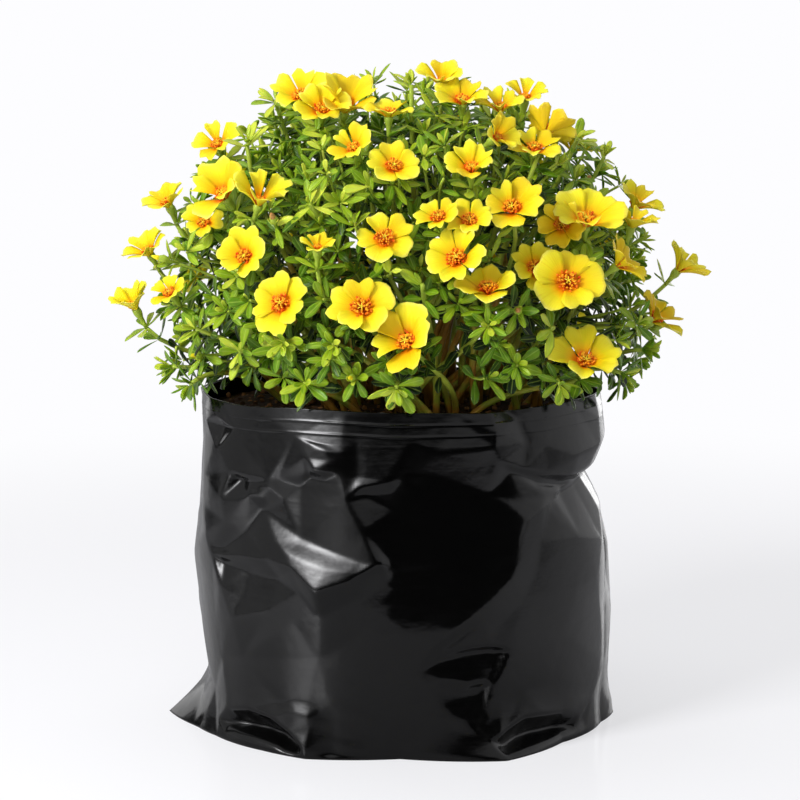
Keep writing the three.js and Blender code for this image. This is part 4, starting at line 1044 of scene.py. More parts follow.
def side_stems(hubs, axes):
    """Short side shoots from deeper in the plant, bowed towards the way their tip faces."""
    item = np.arange(len(hubs))
    middle = np.array([DOME["x"], 0, SIDE_STEM["from"]])
    astray = np.stack([spread(item, 75, 30), spread(item, 76, 30), spread(item, 77, 20)], axis=1)
    inward = unit(middle - hubs + astray)
    root = hubs + inward * (SIDE_STEM["length"] + SIDE_STEM["longer"] * draw(item, 78))[:, None]
    second = hubs - axes * SIDE_STEM["straight"]
    return bezier(np.stack([root, mix(root, second, 0.5), second, hubs], axis=1), 7)


def along_tone(steps, sides, root, tip):
    """A tone that changes from the root of each stem to its tip, in the point order of tubes."""
    rings = np.repeat(np.linspace(root, tip, steps), sides)
    return np.concatenate([rings, [root, tip]])[None]


def build_stems(stems, plant):
    """One piece for each shoot: its main stems, its side shoots and the flower stalks."""
    material = stem_material(stems)
    main, side, stalks = plant["main"], plant["side"], plant["stalks"]
    for owner in range(SHOOTS + 1):
        form = Form()
        paths = main[plant["main_owner"] == owner]
        radii = np.linspace(stems.base_radius, stems.tip_radius, paths.shape[1]) / MM
        form.add(*tubes(paths, radii, 6), tone=along_tone(paths.shape[1], 6, 0.02, 0.5))
        paths = side[plant["side_owner"] == owner]
        form.add(*tubes(paths, np.linspace(*SIDE_STEM_RADII, paths.shape[1]), 5), tone=0.5)
        paths = stalks[plant["main_owner"][:len(stalks)] == owner]
        if len(paths):
            form.add(*tubes(paths, STALK_RADII, 7), tone=0.62)
        form.piece("stems_" + shoot_name(owner), [material],
                   ["leafy_" + shoot_name(owner)])


# ------------------------------------------------------------------ leaves

LEAF_RINGS = np.array([0.1, 0.32, 0.56, 0.8, 0.94])
# share of the full width at each ring: a lance-shaped leaf, and a spoon-shaped one
LEAF_LANCE = np.array([0.34, 0.78, 1.0, 0.72, 0.32])
LEAF_SPOON = np.array([0.2, 0.5, 0.86, 1.0, 0.64])
# round a ring: across from -1 to 1, and the share of the thickness above or below
LEAF_ACROSS = np.array([-1, -0.52, 0, 0.52, 1, 0])
LEAF_ABOVE = np.array([0, 0.85, 0.45, 0.85, 0, -0.8])
BATCH_STEP = 1009  # keeps the draws of one batch of whorls apart from the next
# whorls: leaves in one, how far they are raised in degrees, their size as a share, their tone
UNDER_BLOOM = (7, 14, 1.0, 0.62)
YOUNG_TIP = (5, 52, 0.72, 0.85)
BELOW_TIP = (6, 14, 1.02, 0.7)
SIDE_TIP = (6, 22, 0.92, 0.6)
YOUNG_SIDE_TIP = (3, 62, 0.6, 0.8)
ON_SIDE_STEM = (3, 20, 0.9, 0.38)
# down a main stem: a point of its path, then as above, with a tone that grows to the tip
ON_STEM = [(step, leaves, 18, 0.95, 0.12 + 0.1 * (step - 6))
           for step, leaves in ((9, 4), (8, 3), (7, 3), (6, 3))]
# from one leaf to the next: how much its length, width, curl and tone vary, up or down
LEAF_VARIES = {"length": 0.2, "width": 0.26, "curl": 0.16, "tone": 0.26}
# low leaves, in full so far below a height, are darker, which is painted shade, and broader towards the tip
LOW_LEAVES = {"below": 250, "over": 60, "darker": 0.32, "spoon": 0.5}


def leaf_points(at, out, side, above, length, width, thickness, curl, spoon):
    """Fleshy pointed blades. A point t of the way along and w across lies at length*t outwards,
    half the width times the outline at t to the side, and curl*t*t times the length above,
    with its margins raised and a groove along the rib. Returns points and their (w, t)."""
    rings = len(LEAF_RINGS)
    t = np.concatenate([[0], np.repeat(LEAF_RINGS, len(LEAF_ACROSS)), [1]])
    w, high, lift = (np.concatenate([[0], np.tile(values, rings), [0]]) for values in (
        LEAF_ACROSS, LEAF_ABOVE, np.abs(LEAF_ACROSS) ** 1.5))
    outline = mix(LEAF_LANCE, LEAF_SPOON, spoon[:, None])
    outline = np.pad(np.repeat(outline, len(LEAF_ACROSS), axis=1), ((0, 0), (1, 1)))
    w, high, lift = w * outline, high * outline, lift * outline
    length, width, curl = length[:, None], width[:, None], curl[:, None]
    along = length * t * (1 - 0.35 * np.abs(curl) * t)
    up = length * curl * t * t + high * thickness + lift * width * 0.16
    points = (at[:, None] + out[:, None] * along[..., None] + side[:, None] * (w * width / 2)[..., None]
              + above[:, None] * up[..., None])
    across = np.concatenate([[0.5], np.tile(LEAF_ACROSS / 2 + 0.5, len(LEAF_RINGS)), [0.5]])
    return points, np.stack([across, t], axis=-1)


def leaf_faces(count):
    """Quads between the rings of each leaf and triangles at its base and tip."""
    rings, around = len(LEAF_RINGS), len(LEAF_ACROSS)
    quads = grid_faces(rings, around, closed=True) + 1
    k = np.arange(around)
    beside = (k + 1) % around
    tip = rings * around + 1
    last = 1 + (rings - 1) * around
    caps = np.concatenate([np.stack([k * 0, 1 + k, 1 + beside], axis=1),
                           np.stack([k * 0 + tip, last + beside, last + k], axis=1)])
    return [repeated(quads, count, tip + 1), repeated(caps, count, tip + 1)]


def whorl(hubs, axes, count, raised, item):
    """Directions of `count` leaves round each hub: outwards, to the side and above the blade."""
    axes = unit(axes)
    x, y = (part[:, None] for part in axes_across(axes))
    number = np.arange(count)
    each = item[:, None] * 17 + number
    turn = np.radians(number * 360 / count + spread(each, 81, 14) + (draw(item, 82) * 360)[:, None])
    up = np.radians(raised + spread(each, 83, 20))
    side = around_axis(y, -x, turn)
    out = around_axis(around_axis(x, y, turn), axes[:, None], up)
    at = np.repeat(hubs[:, None], count, axis=1) + out * 0.6
    return [part.reshape(-1, 3) for part in (at, out, side, np.cross(out, side))] + [each.ravel()]


def leaf_batches(plant):
    """The whorls of the plant: (hubs, axes, leaves in each, how raised, size, tone, owners)."""
    main, axis, owner = plant["main"], plant["main_axis"], plant["main_owner"]
    side, side_axis, side_owner = plant["side"], plant["side_axis"], plant["side_owner"]
    bloom = np.arange(len(main)) < len(plant["blooms"]["width"])
    batches = [
        (main[bloom, -1], axis[bloom], *UNDER_BLOOM, owner[bloom]),
        (main[~bloom, -1], axis[~bloom], *YOUNG_TIP, owner[~bloom]),
        (main[~bloom, -1] - axis[~bloom] * 2, axis[~bloom], *BELOW_TIP, owner[~bloom]),
        (side[:, -1], side_axis, *SIDE_TIP, side_owner),
        (side[:, -1] + side_axis, side_axis, *YOUNG_SIDE_TIP, side_owner),
        (side[:, 4], unit(side[:, 5] - side[:, 3]), *ON_SIDE_STEM, side_owner),
    ]
    return batches + [(main[:, step], unit(main[:, step + 1] - main[:, step - 1]), *leaves, owner)
                      for step, *leaves in ON_STEM]


def lay_out_leaves(leaves, plant):
    """Every leaf of the plant that stands in no bloom and not in the soil: its place, its three
    directions, length, width, curl, tone, how spoon-shaped it is, and its shoot."""
    parts = []
    for number, (hubs, axes, count, raised, size, tone, owner) in enumerate(leaf_batches(plant)):
        item = np.arange(len(hubs)) + number * BATCH_STEP
        at, out, side, above, each = whorl(hubs, axes, count, raised, item)
        length = leaves.length / MM * size * (1 + spread(each, 84, LEAF_VARIES["length"]))
        width = leaves.width / MM * size * (1 + spread(each, 85, LEAF_VARIES["width"]))
        curl = spread(each, 86, LEAF_VARIES["curl"]) - 0.03
        # painted shade: leaves deep in the plant are darker and those near its surface lighter, and low
        # leaves darker still
        depth = np.linalg.norm(dome_parts(at), axis=1)
        low = np.clip((LOW_LEAVES["below"] - at[:, 2]) / LOW_LEAVES["over"], 0, 1)
        bright = (tone + spread(each, 87, LEAF_VARIES["tone"]) + (depth - 0.9) * 1.6
                  - low * LOW_LEAVES["darker"])
        spoon = np.clip(draw(each, 88) * 1.1 + low * LOW_LEAVES["spoon"] - 0.35, 0, 1)
        parts.append([at, out, side, above, length, width * (1 + 0.2 * spoon), curl,
                      np.clip(bright, 0, 1), spoon, np.repeat(owner, count)])
    laid = [np.concatenate(part) for part in zip(*parts)]
    at, out, length = laid[0], laid[1], laid[4][:, None]
    tip, half = at + out * length, at + out * length * 0.55
    blooms = plant["blooms"]
    in_bloom = in_front_of_bloom(tip, blooms, 0.95) | in_front_of_bloom(half, blooms, 0.9)
    over_bag = (tip[:, 0] / (BAG_RIM[0] + 1)) ** 2 + (tip[:, 1] / (BAG_RIM[1] + 1)) ** 2 < 1.04
    in_soil = over_bag & (tip[:, 2] < BAG_HEIGHT - 6)
    return [part[~(in_bloom | in_soil)] for part in laid]


def build_leaves(leaves, plant):
    """One piece for each shoot: whorls at the tips, smaller raised ones above them, and
    smaller groups down the stems."""
    material = leaf_material(leaves)
    *laid, owner = lay_out_leaves(leaves, plant)
    for shoot in range(SHOOTS + 1):
        at, out, side, above, length, width, curl, bright, spoon = (part[owner == shoot] for part in laid)
        points, uv = leaf_points(at, out, side, above, length, width, leaves.thickness / MM, curl, spoon)
        form = Form()
        form.add(points, leaf_faces(len(points)), np.broadcast_to(uv, (*points.shape[:2], 2)),
                 bright[:, None])
        form.piece("leaves_" + shoot_name(shoot), [material],
                   ["leafy_" + shoot_name(shoot)])


# ------------------------------------------------------------------ blooms

PETALS = 5
BETWEEN_PETALS = 360 / PETALS
# a petal: rows and columns of its grid, where it starts as a share of its length, its half
# angle with what a draw and a broad bloom add, and the least depth of its notch with what a
# draw adds
PETAL_GRID = (12, 9)
PETAL_START = 0.07
PETAL_HALF_ANGLE = {"least": 33, "draw": 7, "broad": 4}
PETAL_NOTCH = (0.05, 0.18)
# stamens of a bloom of the typical width: the half width of the ring that they stand on, how
# far they lean when the cup is flat and how much less when it is closed, and their lengths
STAMEN_RING = 0.9
STAMEN_LEAN = (64, 60)
FILAMENT_LENGTH = 6.3
ANTHER_HALF_LENGTH = 0.85
# the stigma: the height of its rim, what a closed cup adds, and the reach of its arms
STIGMA_RIM = (5.4, 1.4)
STIGMA_REACH = 1.9
# along a filament, an anther, an arm of the stigma and the boss in the middle: radii in mm,
# for a bloom of the typical width
FILAMENT_RADII = np.array([0.34, 0.28, 0.2])
ANTHER_RADII = np.array([0.3, 0.68, 0.3])
STIGMA_RADII = np.array([0.3, 0.32, 0.22])
BOSS_RADII = np.array([0.5, 1.5, 1.5, 0.7])
BOSS_RISE = np.array([0.3, 0.8, 1.5, 2.1])


def petal_rise(cup):
    """How steeply the petals rise from the base, in radians."""
    return np.radians(PETAL_RISE[0] + PETAL_RISE[1] * cup)


def petal_sheets(blooms, settings):
    """Five petals for each bloom. A point t out along a petal and w across it, from -1 to 1,
    lies at the angle of the petal's middle plus w times its half angle. Its distance grows
    with t, less the rounding of the corners and the notch. It rises with the cup, is raised
    at both margins, laps over one neighbour, waves along the edge and curls back at the tip."""
    t = np.linspace(PETAL_START, 1, PETAL_GRID[0])[None, :, None]
    w = np.linspace(-1, 1, PETAL_GRID[1])[None, None, :]
    number = np.arange(len(blooms["width"]) * PETALS)
    bloom, turn = number // PETALS, number % PETALS

    def each(values):
        """One value for each petal, held against its grid."""
        return np.asarray(values)[:, None, None]

    cup, width = blooms["cup"][bloom], blooms["width"][bloom]
    rise = petal_rise(cup)
    slant = each(rise + spread(number, 91, 0.22))
    reach = each(width / 2 / (np.cos(rise) + 0.18 * np.sin(rise)) * (1 + spread(number, 92, 0.08)))
    broad = np.clip((width - 28) / 10, 0, 1)
    half_angle = np.radians(PETAL_HALF_ANGLE["least"] + PETAL_HALF_ANGLE["draw"] * draw(bloom, 93)
                            + PETAL_HALF_ANGLE["broad"] * broad + spread(number, 94, 4))
    notch = PETAL_NOTCH[0] + PETAL_NOTCH[1] * draw(number, 95)
    far = t * (1 - 0.24 * np.abs(w) ** 2.6 - each(notch) * np.exp(-(w / 0.26) ** 2) * t ** 2)
    narrow = 0.78 + 0.22 * np.clip(t * 2, 0, 1)
    middle = np.radians(blooms["twist"][bloom] + turn * BETWEEN_PETALS)
    angle = each(middle) + w * each(half_angle) * narrow
    out = reach * (far * np.cos(slant) + 0.18 * far ** 2 * np.sin(slant))
    wave = 0.07 * far ** 3 * np.sin(w * 5.5 + each(draw(number, 96) * 6.3))
    pleats = 0.012 * far ** 2 * np.sin(w * 13 + each(draw(number, 99) * 6.3))
    lap = each(spread(bloom, 97, 1.0) > 0) * 2 - 1
    high = reach * ((far - 0.22 * far ** 2) * np.sin(slant) + 0.13 * far * w ** 2 + 0.045 * lap * far * w
                    + wave + pleats - each(0.13 * (1 - cup) + spread(number, 100, 0.05)) * far ** 4)
    thick = settings.petal_thickness / MM * (1 - 0.75 * np.abs(w) ** 4) * (1 - 0.7 * t ** 6) / 2
    x, y = axes_across(blooms["axis"])
    x, y, up = (part[bloom][:, None, None] for part in (x, y, blooms["axis"]))
    flat = around_axis(x, y, angle)
    surface = blooms["base"][bloom][:, None, None] + flat * out[..., None] + up * high[..., None]
    normal = up * np.cos(slant)[..., None] - flat * np.sin(slant)[..., None]
    offset = normal * thick[..., None]
    # the outer face starts part of the way up the ramp of colours: its claw is no deep orange
    uv = np.stack([np.stack(np.broadcast_arrays(w / 2 + 0.5, up_petal), axis=-1)
                   for up_petal in (far, 0.42 + 0.58 * far)])
    return surface + offset, surface - offset, uv


def bloom_parts(blooms, stamens):
    """For each bloom: `stamens` filaments that fan out inside the cup on a golden-angle spiral,
    anthers on their heads, a starry stigma of five arms and a low boss, all as paths."""
    count = len(blooms["width"])
    base, axis = blooms["base"][:, None], blooms["axis"][:, None]
    x, y = (part[:, None] for part in axes_across(blooms["axis"]))
    size = (blooms["width"] / TYPICAL_BLOOM)[:, None]
    cup = blooms["cup"][:, None]
    number = np.arange(count * stamens).reshape(count, stamens)
    turn = np.radians(np.arange(stamens) * GOLDEN_ANGLE)[None] + spread(number, 101, 0.3)
    place = (np.arange(stamens) + 0.5) / stamens
    far = np.sqrt(0.12 + 0.88 * place)[None] * (1 + spread(number, 102, 0.12))
    flat = around_axis(x, y, turn)
    foot = base + flat * (STAMEN_RING * size * far)[..., None] + axis * 0.5
    lean = np.radians((STAMEN_LEAN[0] - STAMEN_LEAN[1] * cup) * 0.92) * far
    long = FILAMENT_LENGTH * size * (1 - 0.1 * far) * (1 + spread(number, 103, 0.12))
    head = foot + flat * (long * np.sin(lean))[..., None] + axis * (long * np.cos(lean))[..., None]
    knee = mix(foot, head, 0.5) + axis * (0.3 * size)[..., None]
    threads = np.stack([foot, knee, head], axis=2).reshape(-1, 3, 3)
    tops = head.reshape(-1, 3)
    half = unit(head - knee).reshape(-1, 3) * (ANTHER_HALF_LENGTH * np.repeat(size, stamens)).reshape(-1, 1)
    anthers = np.stack([tops - half, tops, tops + half], axis=1)
    arm = np.radians(np.arange(PETALS) * BETWEEN_PETALS)[None] + (draw(np.arange(count), 104) * 2)[:, None]
    ray = around_axis(x, y, arm)
    rim = base + axis * ((STIGMA_RIM[0] + STIGMA_RIM[1] * cup) * size)[..., None]
    style = np.stack([base + axis * 1.0 + ray * 0.1, rim + ray * (0.3 * size)[..., None],
                      rim + ray * (STIGMA_REACH * size)[..., None] + axis * 0.5], axis=2)
    return threads, anthers, style, base + axis * BOSS_RISE[:, None]


def bloom_nodes():
    """The solids' bloom nodes, each with the numbers of the blooms in it."""
    names = sorted(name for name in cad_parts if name.startswith("bloom"))
    return {name: [int(part) - 1 for part in name.split("_")[1:]] for name in names}


def build_blooms(settings, plant):
    """One piece for each bloom, or for each clump of blooms that touch: petals, a boss,
    filaments, anthers and the stigma."""
    blooms = plant["blooms"]
    materials = [
        petal_material(settings),
        pollen_material("orange_filament", "#cc420c", "#f2821c", 900),
        pollen_material("golden_anther", "#dc4a0c", "#f9ae22", 1500),
        pollen_material("yellow_stigma", "#d9a510", "#f8dd3c", 900),
    ]
    front, back, uv = petal_sheets(blooms, settings)
    stamens = settings.stamens
    threads, anthers, style, boss = bloom_parts(blooms, stamens)
    # each petal's tone: a random age, raised for the listed blooms; the deeper gold that it gives is partly
    # painted shade
    petal_age_and_shade = draw(np.arange(PETALS * len(blooms["width"])), 98)
    petal_age_and_shade.reshape(-1, PETALS)[OLDER_AND_SHADED_BLOOMS] += 0.6
    petal_age_and_shade = np.clip(petal_age_and_shade, 0, 1)
    for node, members in bloom_nodes().items():
        form = Form()
        petals = np.concatenate([np.arange(PETALS) + PETALS * member for member in members])
        points, faces = closed_sheet(front[petals], back[petals])
        both = np.concatenate([side[petals].reshape(len(petals), -1, 2) for side in uv], axis=1)
        form.add(points, faces, both, petal_age_and_shade[petals][:, None])
        for member in members:
            own = slice(member * stamens, (member + 1) * stamens)
            item = np.arange(own.start, own.stop)
            size = blooms["width"][member] / TYPICAL_BLOOM
            inner = 1 - np.sqrt((item - own.start + 0.5) / stamens)
            form.add(*tubes(threads[own], FILAMENT_RADII * size, 3),
                     tone=draw(item, 105)[:, None], material=1)
            form.add(*tubes(anthers[own], ANTHER_RADII * size, 4),
                     tone=(inner * 0.8 + 0.3 * draw(item, 106))[:, None], material=2)
            form.add(*tubes(style[member], STIGMA_RADII * size, 4), material=3)
            form.add(*tubes(boss[member:member + 1], BOSS_RADII * size, 10), tone=0.2, material=1)
        form.piece(node.replace("bloom", "flower", 1), materials, [node])


# ------------------------------------------------------------------ buds

# along a bud: heights over the shoot's hub and radii of the green calyx and of the tip in it,
# and how far the tip has bent over at each height
CALYX_RISE = np.array([-2, 2.5, 4, 5.6, 7.6, 9.2])
CALYX_RADII = np.array([0.6, 0.7, 1.7, 2.2, 1.5, 0.5])
BUD_TIP_RISE = np.array([6.8, 8.6, 10.2, 11.6])
BUD_TIP_RADII = np.array([1.2, 1.35, 0.9, 0.3])
BUD_TIP_BEND = np.array([0, 0.1, 0.5, 1.0])
SPENT = 0.4  # share of them that have withered


def build_buds(blooms, stems, plant):
    """Closed buds and spent flowers on short stalks over some of the outer side shoots: a
    green calyx, and a yellow or a withered brown tip that bends over."""
    side, axis = plant["side"], plant["side_axis"]
    item = np.arange(len(side))
    chosen = (draw(item, 111) < blooms.bud_share) & (plant["side_depth"] > 0.9)
    hub, up, item = side[chosen, -1][:, None], axis[chosen][:, None], item[chosen]
    size = (1 + spread(item, 112, 0.2))[:, None]
    form = Form()
    form.add(*tubes(hub + up * (CALYX_RISE * size)[..., None], CALYX_RADII * size, 7), tone=0.6)
    bend = np.stack([spread(item, 114, 1.0), spread(item, 115, 1.0), item * 0], axis=1)[:, None]
    tips = hub + up * (BUD_TIP_RISE * size)[..., None] + bend * BUD_TIP_BEND[:, None]
    fresh = draw(item, 113) > SPENT
    for share, material in ((fresh, 1), (~fresh, 2)):
        points, faces = tubes(tips[share], BUD_TIP_RADII * size[share], 6)
        # the middle of a petal's pattern
        form.add(points, faces, np.broadcast_to([0.5, 0.7], (*points.shape[:2], 2)), material=material)
    withered = pollen_material("withered_petal", "#6b3c1c", "#b98a4a", 700)
    form.piece("flower_buds",
               [stem_material(stems), petal_material(blooms), withered], [])


def lay_out_plant(scene):
    """Works out every hub, axis, stem and owner, in the same way for each of the plant's
    operators."""
    blooms = lay_out_blooms()
    hubs, axes = lay_out_tips(blooms)
    side_hubs, side_axes, side_depth = more_tips(scene.portulaca_leaves, blooms)
    base = blooms["base"]
    hub = hubs[:len(base)]
    lip = 1 + 0.16 * np.tan(petal_rise(blooms["cup"]))
    share = np.stack([lip * 0 + part for part in STALK_SHARES] + [lip], axis=1)
    return {
        "blooms": blooms,
        "main": main_stems(hubs, axes, scene.portulaca_soil.top / MM),
        "main_axis": axes,
        "main_owner": owner_of(hubs),
        "side": side_stems(side_hubs, side_axes),
        "side_axis": side_axes,
        "side_owner": owner_of(side_hubs),
        "side_depth": side_depth,
        "stalks": hub[:, None] + (base - hub)[:, None] * share[..., None],
    }


# ------------------------------------------------------------------ the stage

# The surround, in degrees: the turn of the window that the film mirrors and how steeply its
# core and halo fall off, the height and falloff of the glow at the right, how soft the dark
# gap is at its sides and top, and the half width of the dark flag at its core and its edge.
# "light" is what is left in the dark.
WINDOW = {"turn": -46, "core": 75.0, "halo": 26.0}
SIDE_GLOW = {"raised": 12, "falloff": 5.0}
GAP = {"sides": 3, "top": 4, "light": 0.01}
FLAG = {"core": 5, "edge": 11, "light": 0.12}

# Softboxes: name, place, height on the plant's axis that it faces, side, a power of the stage
# and its share of that, whether the film mirrors it, and whether it lights the plant.
SOFTBOXES = [
    ("key", (-950, -950, 1000), 200, 500, "key_power", 1, False, True),
    ("left_edge", (-1150, 1150, 300), 120, 700, "edge_power", 0.3, True, False),
    ("right_edge", (850, 1500, 300), 120, 600, "edge_power", 0.6, True, False),
    ("top", (-200, 200, 1300), 200, 700, "top_power", 1, False, True),
    ("front", (150, -1500, 700), 230, 600, "front_power", 1, False, True),
]


def studio_world(stage):
    """A white surround. The film mirrors a dark gap in it where the camera stands, a narrow
    dark flag and a bright window at the left, and a soft glow at the right."""
    bpy.context.scene.world, node = without_nodes(bpy.data.worlds.new("white_studio"))
    direction = node("TexCoord").outputs["Generated"]
    mirrored = node("LightPath").outputs["Is Glossy Ray"]
    towards = node("SeparateXYZ", {0: direction})
    forward = node("Math", {0: towards.outputs["Y"], 1: -1.0}, operation="MULTIPLY")
    azimuth = node("Math", {0: towards.outputs["X"], 1: forward.outputs[0]}, operation="ARCTAN2")

    def beyond(turn, inner, outer, dark):
        """Rises from `dark` to 1 between two angles on either side of a turn, in degrees."""
        aside = node("Math", {0: azimuth.outputs[0], 1: math.radians(turn)}, operation="SUBTRACT")
        wide = node("Math", {0: aside.outputs[0]}, operation="ABSOLUTE")
        return node("MapRange", {
            "Value": wide.outputs[0], "From Min": math.radians(inner), "From Max": math.radians(outer),
            "To Min": dark}, interpolation_type="SMOOTHSTEP").outputs[0]

    def glow(turn, raised, falloff):
        """A soft round patch that only reflections show: e to the falloff times (cosine - 1)."""
        cosine = node("VectorMath", {0: direction, 1: tuple(facing(turn, raised))}, operation="DOT_PRODUCT")
        short_of = node("Math", {0: cosine.outputs["Value"], 1: 1.0}, operation="SUBTRACT")
        steep = node("Math", {0: short_of.outputs[0], 1: falloff}, operation="MULTIPLY")
        patch = node("Math", {0: steep.outputs[0]}, operation="EXPONENT")
        return node("Math", {0: patch.outputs[0], 1: mirrored}, operation="MULTIPLY").outputs[0]

    outside = beyond(stage.gap_turn, stage.gap_half_width - GAP["sides"],
                     stage.gap_half_width + GAP["sides"], 0.0)
    above = node("MapRange", {
        "Value": towards.outputs["Z"], "From Min": math.sin(math.radians(stage.gap_top - GAP["top"])),
        "From Max": math.sin(math.radians(stage.gap_top + GAP["top"]))}, interpolation_type="SMOOTHSTEP")
    lit = node("Math", {0: outside, 1: above.outputs[0]}, operation="MAXIMUM")
    past_flag = beyond(stage.flag_turn, FLAG["core"], FLAG["edge"], FLAG["light"])
    open_sky = node("Math", {0: lit.outputs[0], 1: past_flag}, operation="MULTIPLY")
    brightest = node("Math", {
        0: glow(stage.side_turn, SIDE_GLOW["raised"], SIDE_GLOW["falloff"]), 1: stage.side_glow,
        2: stage.surround}, operation="MULTIPLY_ADD")
    level = node("MapRange", {
        "Value": open_sky.outputs[0], "To Min": GAP["light"], "To Max": brightest.outputs[0]})
    for strength, falloff in ((stage.window_core, WINDOW["core"]), (stage.window_halo, WINDOW["halo"])):
        level = node("Math", {
            0: glow(WINDOW["turn"], stage.window_height, falloff), 1: strength, 2: level.outputs[0]},
            operation="MULTIPLY_ADD")
    seen = node("LightPath").outputs["Is Camera Ray"]
    strength = node("Mix", {0: seen, 2: level.outputs[0], 3: 1.0}, data_type="FLOAT")
    background = node("Background", {"Color": (*linear("#fdfdff"), 1), "Strength": strength.outputs[0]})
    node("OutputWorld", {"Surface": background.outputs[0]})


def soft_light(name, at, aim_height, size, power, seen_in_film, lights_plant):
    """A softbox: a square area light that faces a point on the plant's axis, all in mm."""
    light = bpy.data.lights.new(name, "AREA")
    light.shape = "SQUARE"
    light.size = size * MM
    light.energy = power
    made = bpy.data.objects.new(name, light)
    made.location = Vector(at) * MM
    made.rotation_euler = (Vector((0, 0, aim_height)) - Vector(at)).to_track_quat("-Z", "Y").to_euler()
    made.visible_glossy = seen_in_film
    made.visible_camera = False
    made.visible_diffuse = made.visible_transmission = lights_plant
    bpy.context.scene.collection.objects.link(made)


def floor_material(stage):
    """White lacquered table: nearly white, faintly blue in the shade, with a weak mirror image. Towards the
    camera it runs into the dark of the room, which only reflections show, and in reflections its lit part
    carries painted shade. Seen directly it glows white, which is painted light."""
    material, node = without_nodes(bpy.data.materials.new("white_lacquered_table"))
    at = node("TexCoord").outputs["Object"]
    split = node("SeparateXYZ", {0: at})
    # the table's lit part ends over 40 mm
    near = node("MapRange", {"Value": split.outputs["Y"], "From Min": -stage.floor_front,
                             "From Max": -stage.floor_front + 0.04}, interpolation_type="SMOOTHSTEP")
    mirrored = node("LightPath").outputs["Is Glossy Ray"]
    far = node("Math", {0: 1.0, 1: near.outputs["Result"]}, operation="SUBTRACT")
    # painted shade that only reflections show: the lit part is darkest in the middle, and lightens from 60
    # to 340 mm aside
    beside = node("Math", {0: split.outputs["X"]}, operation="ABSOLUTE")
    lit = node("MapRange", {"Value": beside.outputs[0], "From Min": 0.06, "From Max": 0.34,
                            "To Min": 0.62, "To Max": 0.36}, interpolation_type="SMOOTHSTEP")
    deep = node("MapRange", {"Value": far.outputs[0], "To Min": lit.outputs["Result"], "To Max": 1.0})
    dark = node("Math", {0: deep.outputs["Result"], 1: mirrored}, operation="MULTIPLY")
    colour = node("Mix", {0: dark.outputs[0], 6: (*stage.floor_colour, 1),
                          7: (*linear("#0c0c0c"), 1)}, data_type="RGBA")
    # the lacquer ripples over about 70 mm
    ripple = node("TexNoise", {"Vector": at, "Scale": 14, "Detail": 2})
    bump = node("Bump", {"Height": ripple.outputs["Fac"], "Strength": 0.05, "Distance": 0.002})
    lacquer = node("BsdfPrincipled", {
        "Base Color": colour.outputs[2], "Roughness": 0.16, "IOR": 1.3, "Normal": bump.outputs["Normal"]})
    white = node("Emission", {"Color": (*linear("#fdfdff"), 1), "Strength": 1.0})
    # painted light: seen directly, the table glows white, at least 0.58 of it beside the bag, which lightens
    # the bag's shadow, and it turns into the white surround from 350 to 950 mm away
    away = node("VectorMath", {0: at}, operation="LENGTH")
    fade = node("MapRange", {"Value": away.outputs["Value"], "From Min": 0.35, "From Max": 0.95},
                interpolation_type="SMOOTHSTEP")
    seen = node("LightPath").outputs["Is Camera Ray"]
    glow = node("MapRange", {"Value": fade.outputs["Result"], "To Min": 0.58, "To Max": 1.0})
    share = node("Math", {0: glow.outputs["Result"], 1: seen}, operation="MULTIPLY")
    surface = node("MixShader", {0: share.outputs[0], 1: lacquer.outputs["BSDF"],
                                 2: white.outputs["Emission"]})
    node("OutputMaterial", {"Surface": surface.outputs[0]})
    return material


def build_stage(stage):
    """Floor, surround, softboxes and the camera."""
    half = stage.floor_size / 2
    mesh = bpy.data.meshes.new("table")
    mesh.from_pydata([(-half, -half, 0), (half, -half, 0), (half, half, 0), (-half, half, 0)],
                     [], [(0, 1, 2, 3)])
    mesh.materials.append(floor_material(stage))
    table = bpy.data.objects.new("table", mesh)
    bpy.context.scene.collection.objects.link(table)
    studio_world(stage)
    for name, at, aim_height, size, power, share, seen_in_film, lights_plant in SOFTBOXES:
        soft_light(name, at, aim_height, size, getattr(stage, power) * share, seen_in_film, lights_plant)
    camera = bpy.data.objects.new("camera", bpy.data.cameras.new("camera"))
    camera.data.lens = CAMERA["lens"]
    camera.location = Vector(EYE) * MM
    camera.rotation_euler = (math.radians(90 - CAMERA["pitch_down"]), 0, 0)
    bpy.context.scene.collection.objects.link(camera)
    bpy.context.scene.camera = camera
    bpy.context.scene.view_settings.view_transform = "Standard"


# ------------------------------------------------------------------ properties


def millimetres(name, description, default):
    return bpy.props.FloatProperty(name=name, description=description, default=default * MM,
                                   min=0.0, unit="LENGTH", precision=5)


def paint(name, description, hex_code):
    return bpy.props.FloatVectorProperty(name=name, description=description, default=linear(hex_code),
                                         size=3, min=0.0, max=1.0, subtype="COLOR")


def amount(name, description, default, **limits):
    return bpy.props.FloatProperty(name=name, description=description, default=default, **limits)


def how_many(name, description, default):
    return bpy.props.IntProperty(name=name, description=description, default=default, min=1)


class FilmSettings(bpy.types.PropertyGroup):
    thickness: millimetres("Thickness", "Film with its folds, as one wall", 0.9)
    roughness: amount("Haze", "Roughness of the skin", 0.15, min=0.05, max=1.0)
    colour: paint("Colour", "Carbon black in the film", "#030303")
    front_steps: how_many("Front steps", "Columns over the front", 280)
    back_steps: how_many("Back steps", "Columns over the back", 84)
    height_steps: how_many("Height steps", "Rows up the film", 210)


class SoilSettings(bpy.types.PropertyGroup):
    top: millimetres("Top", "Height of the heap", 175)
    rings: how_many("Rings", "Rings of points over the top", 44)
    chips: how_many("Bark chips", "Chips lying on the mix", 320)
    colour: paint("Colour", "Moist potting mix", "#3a2616")


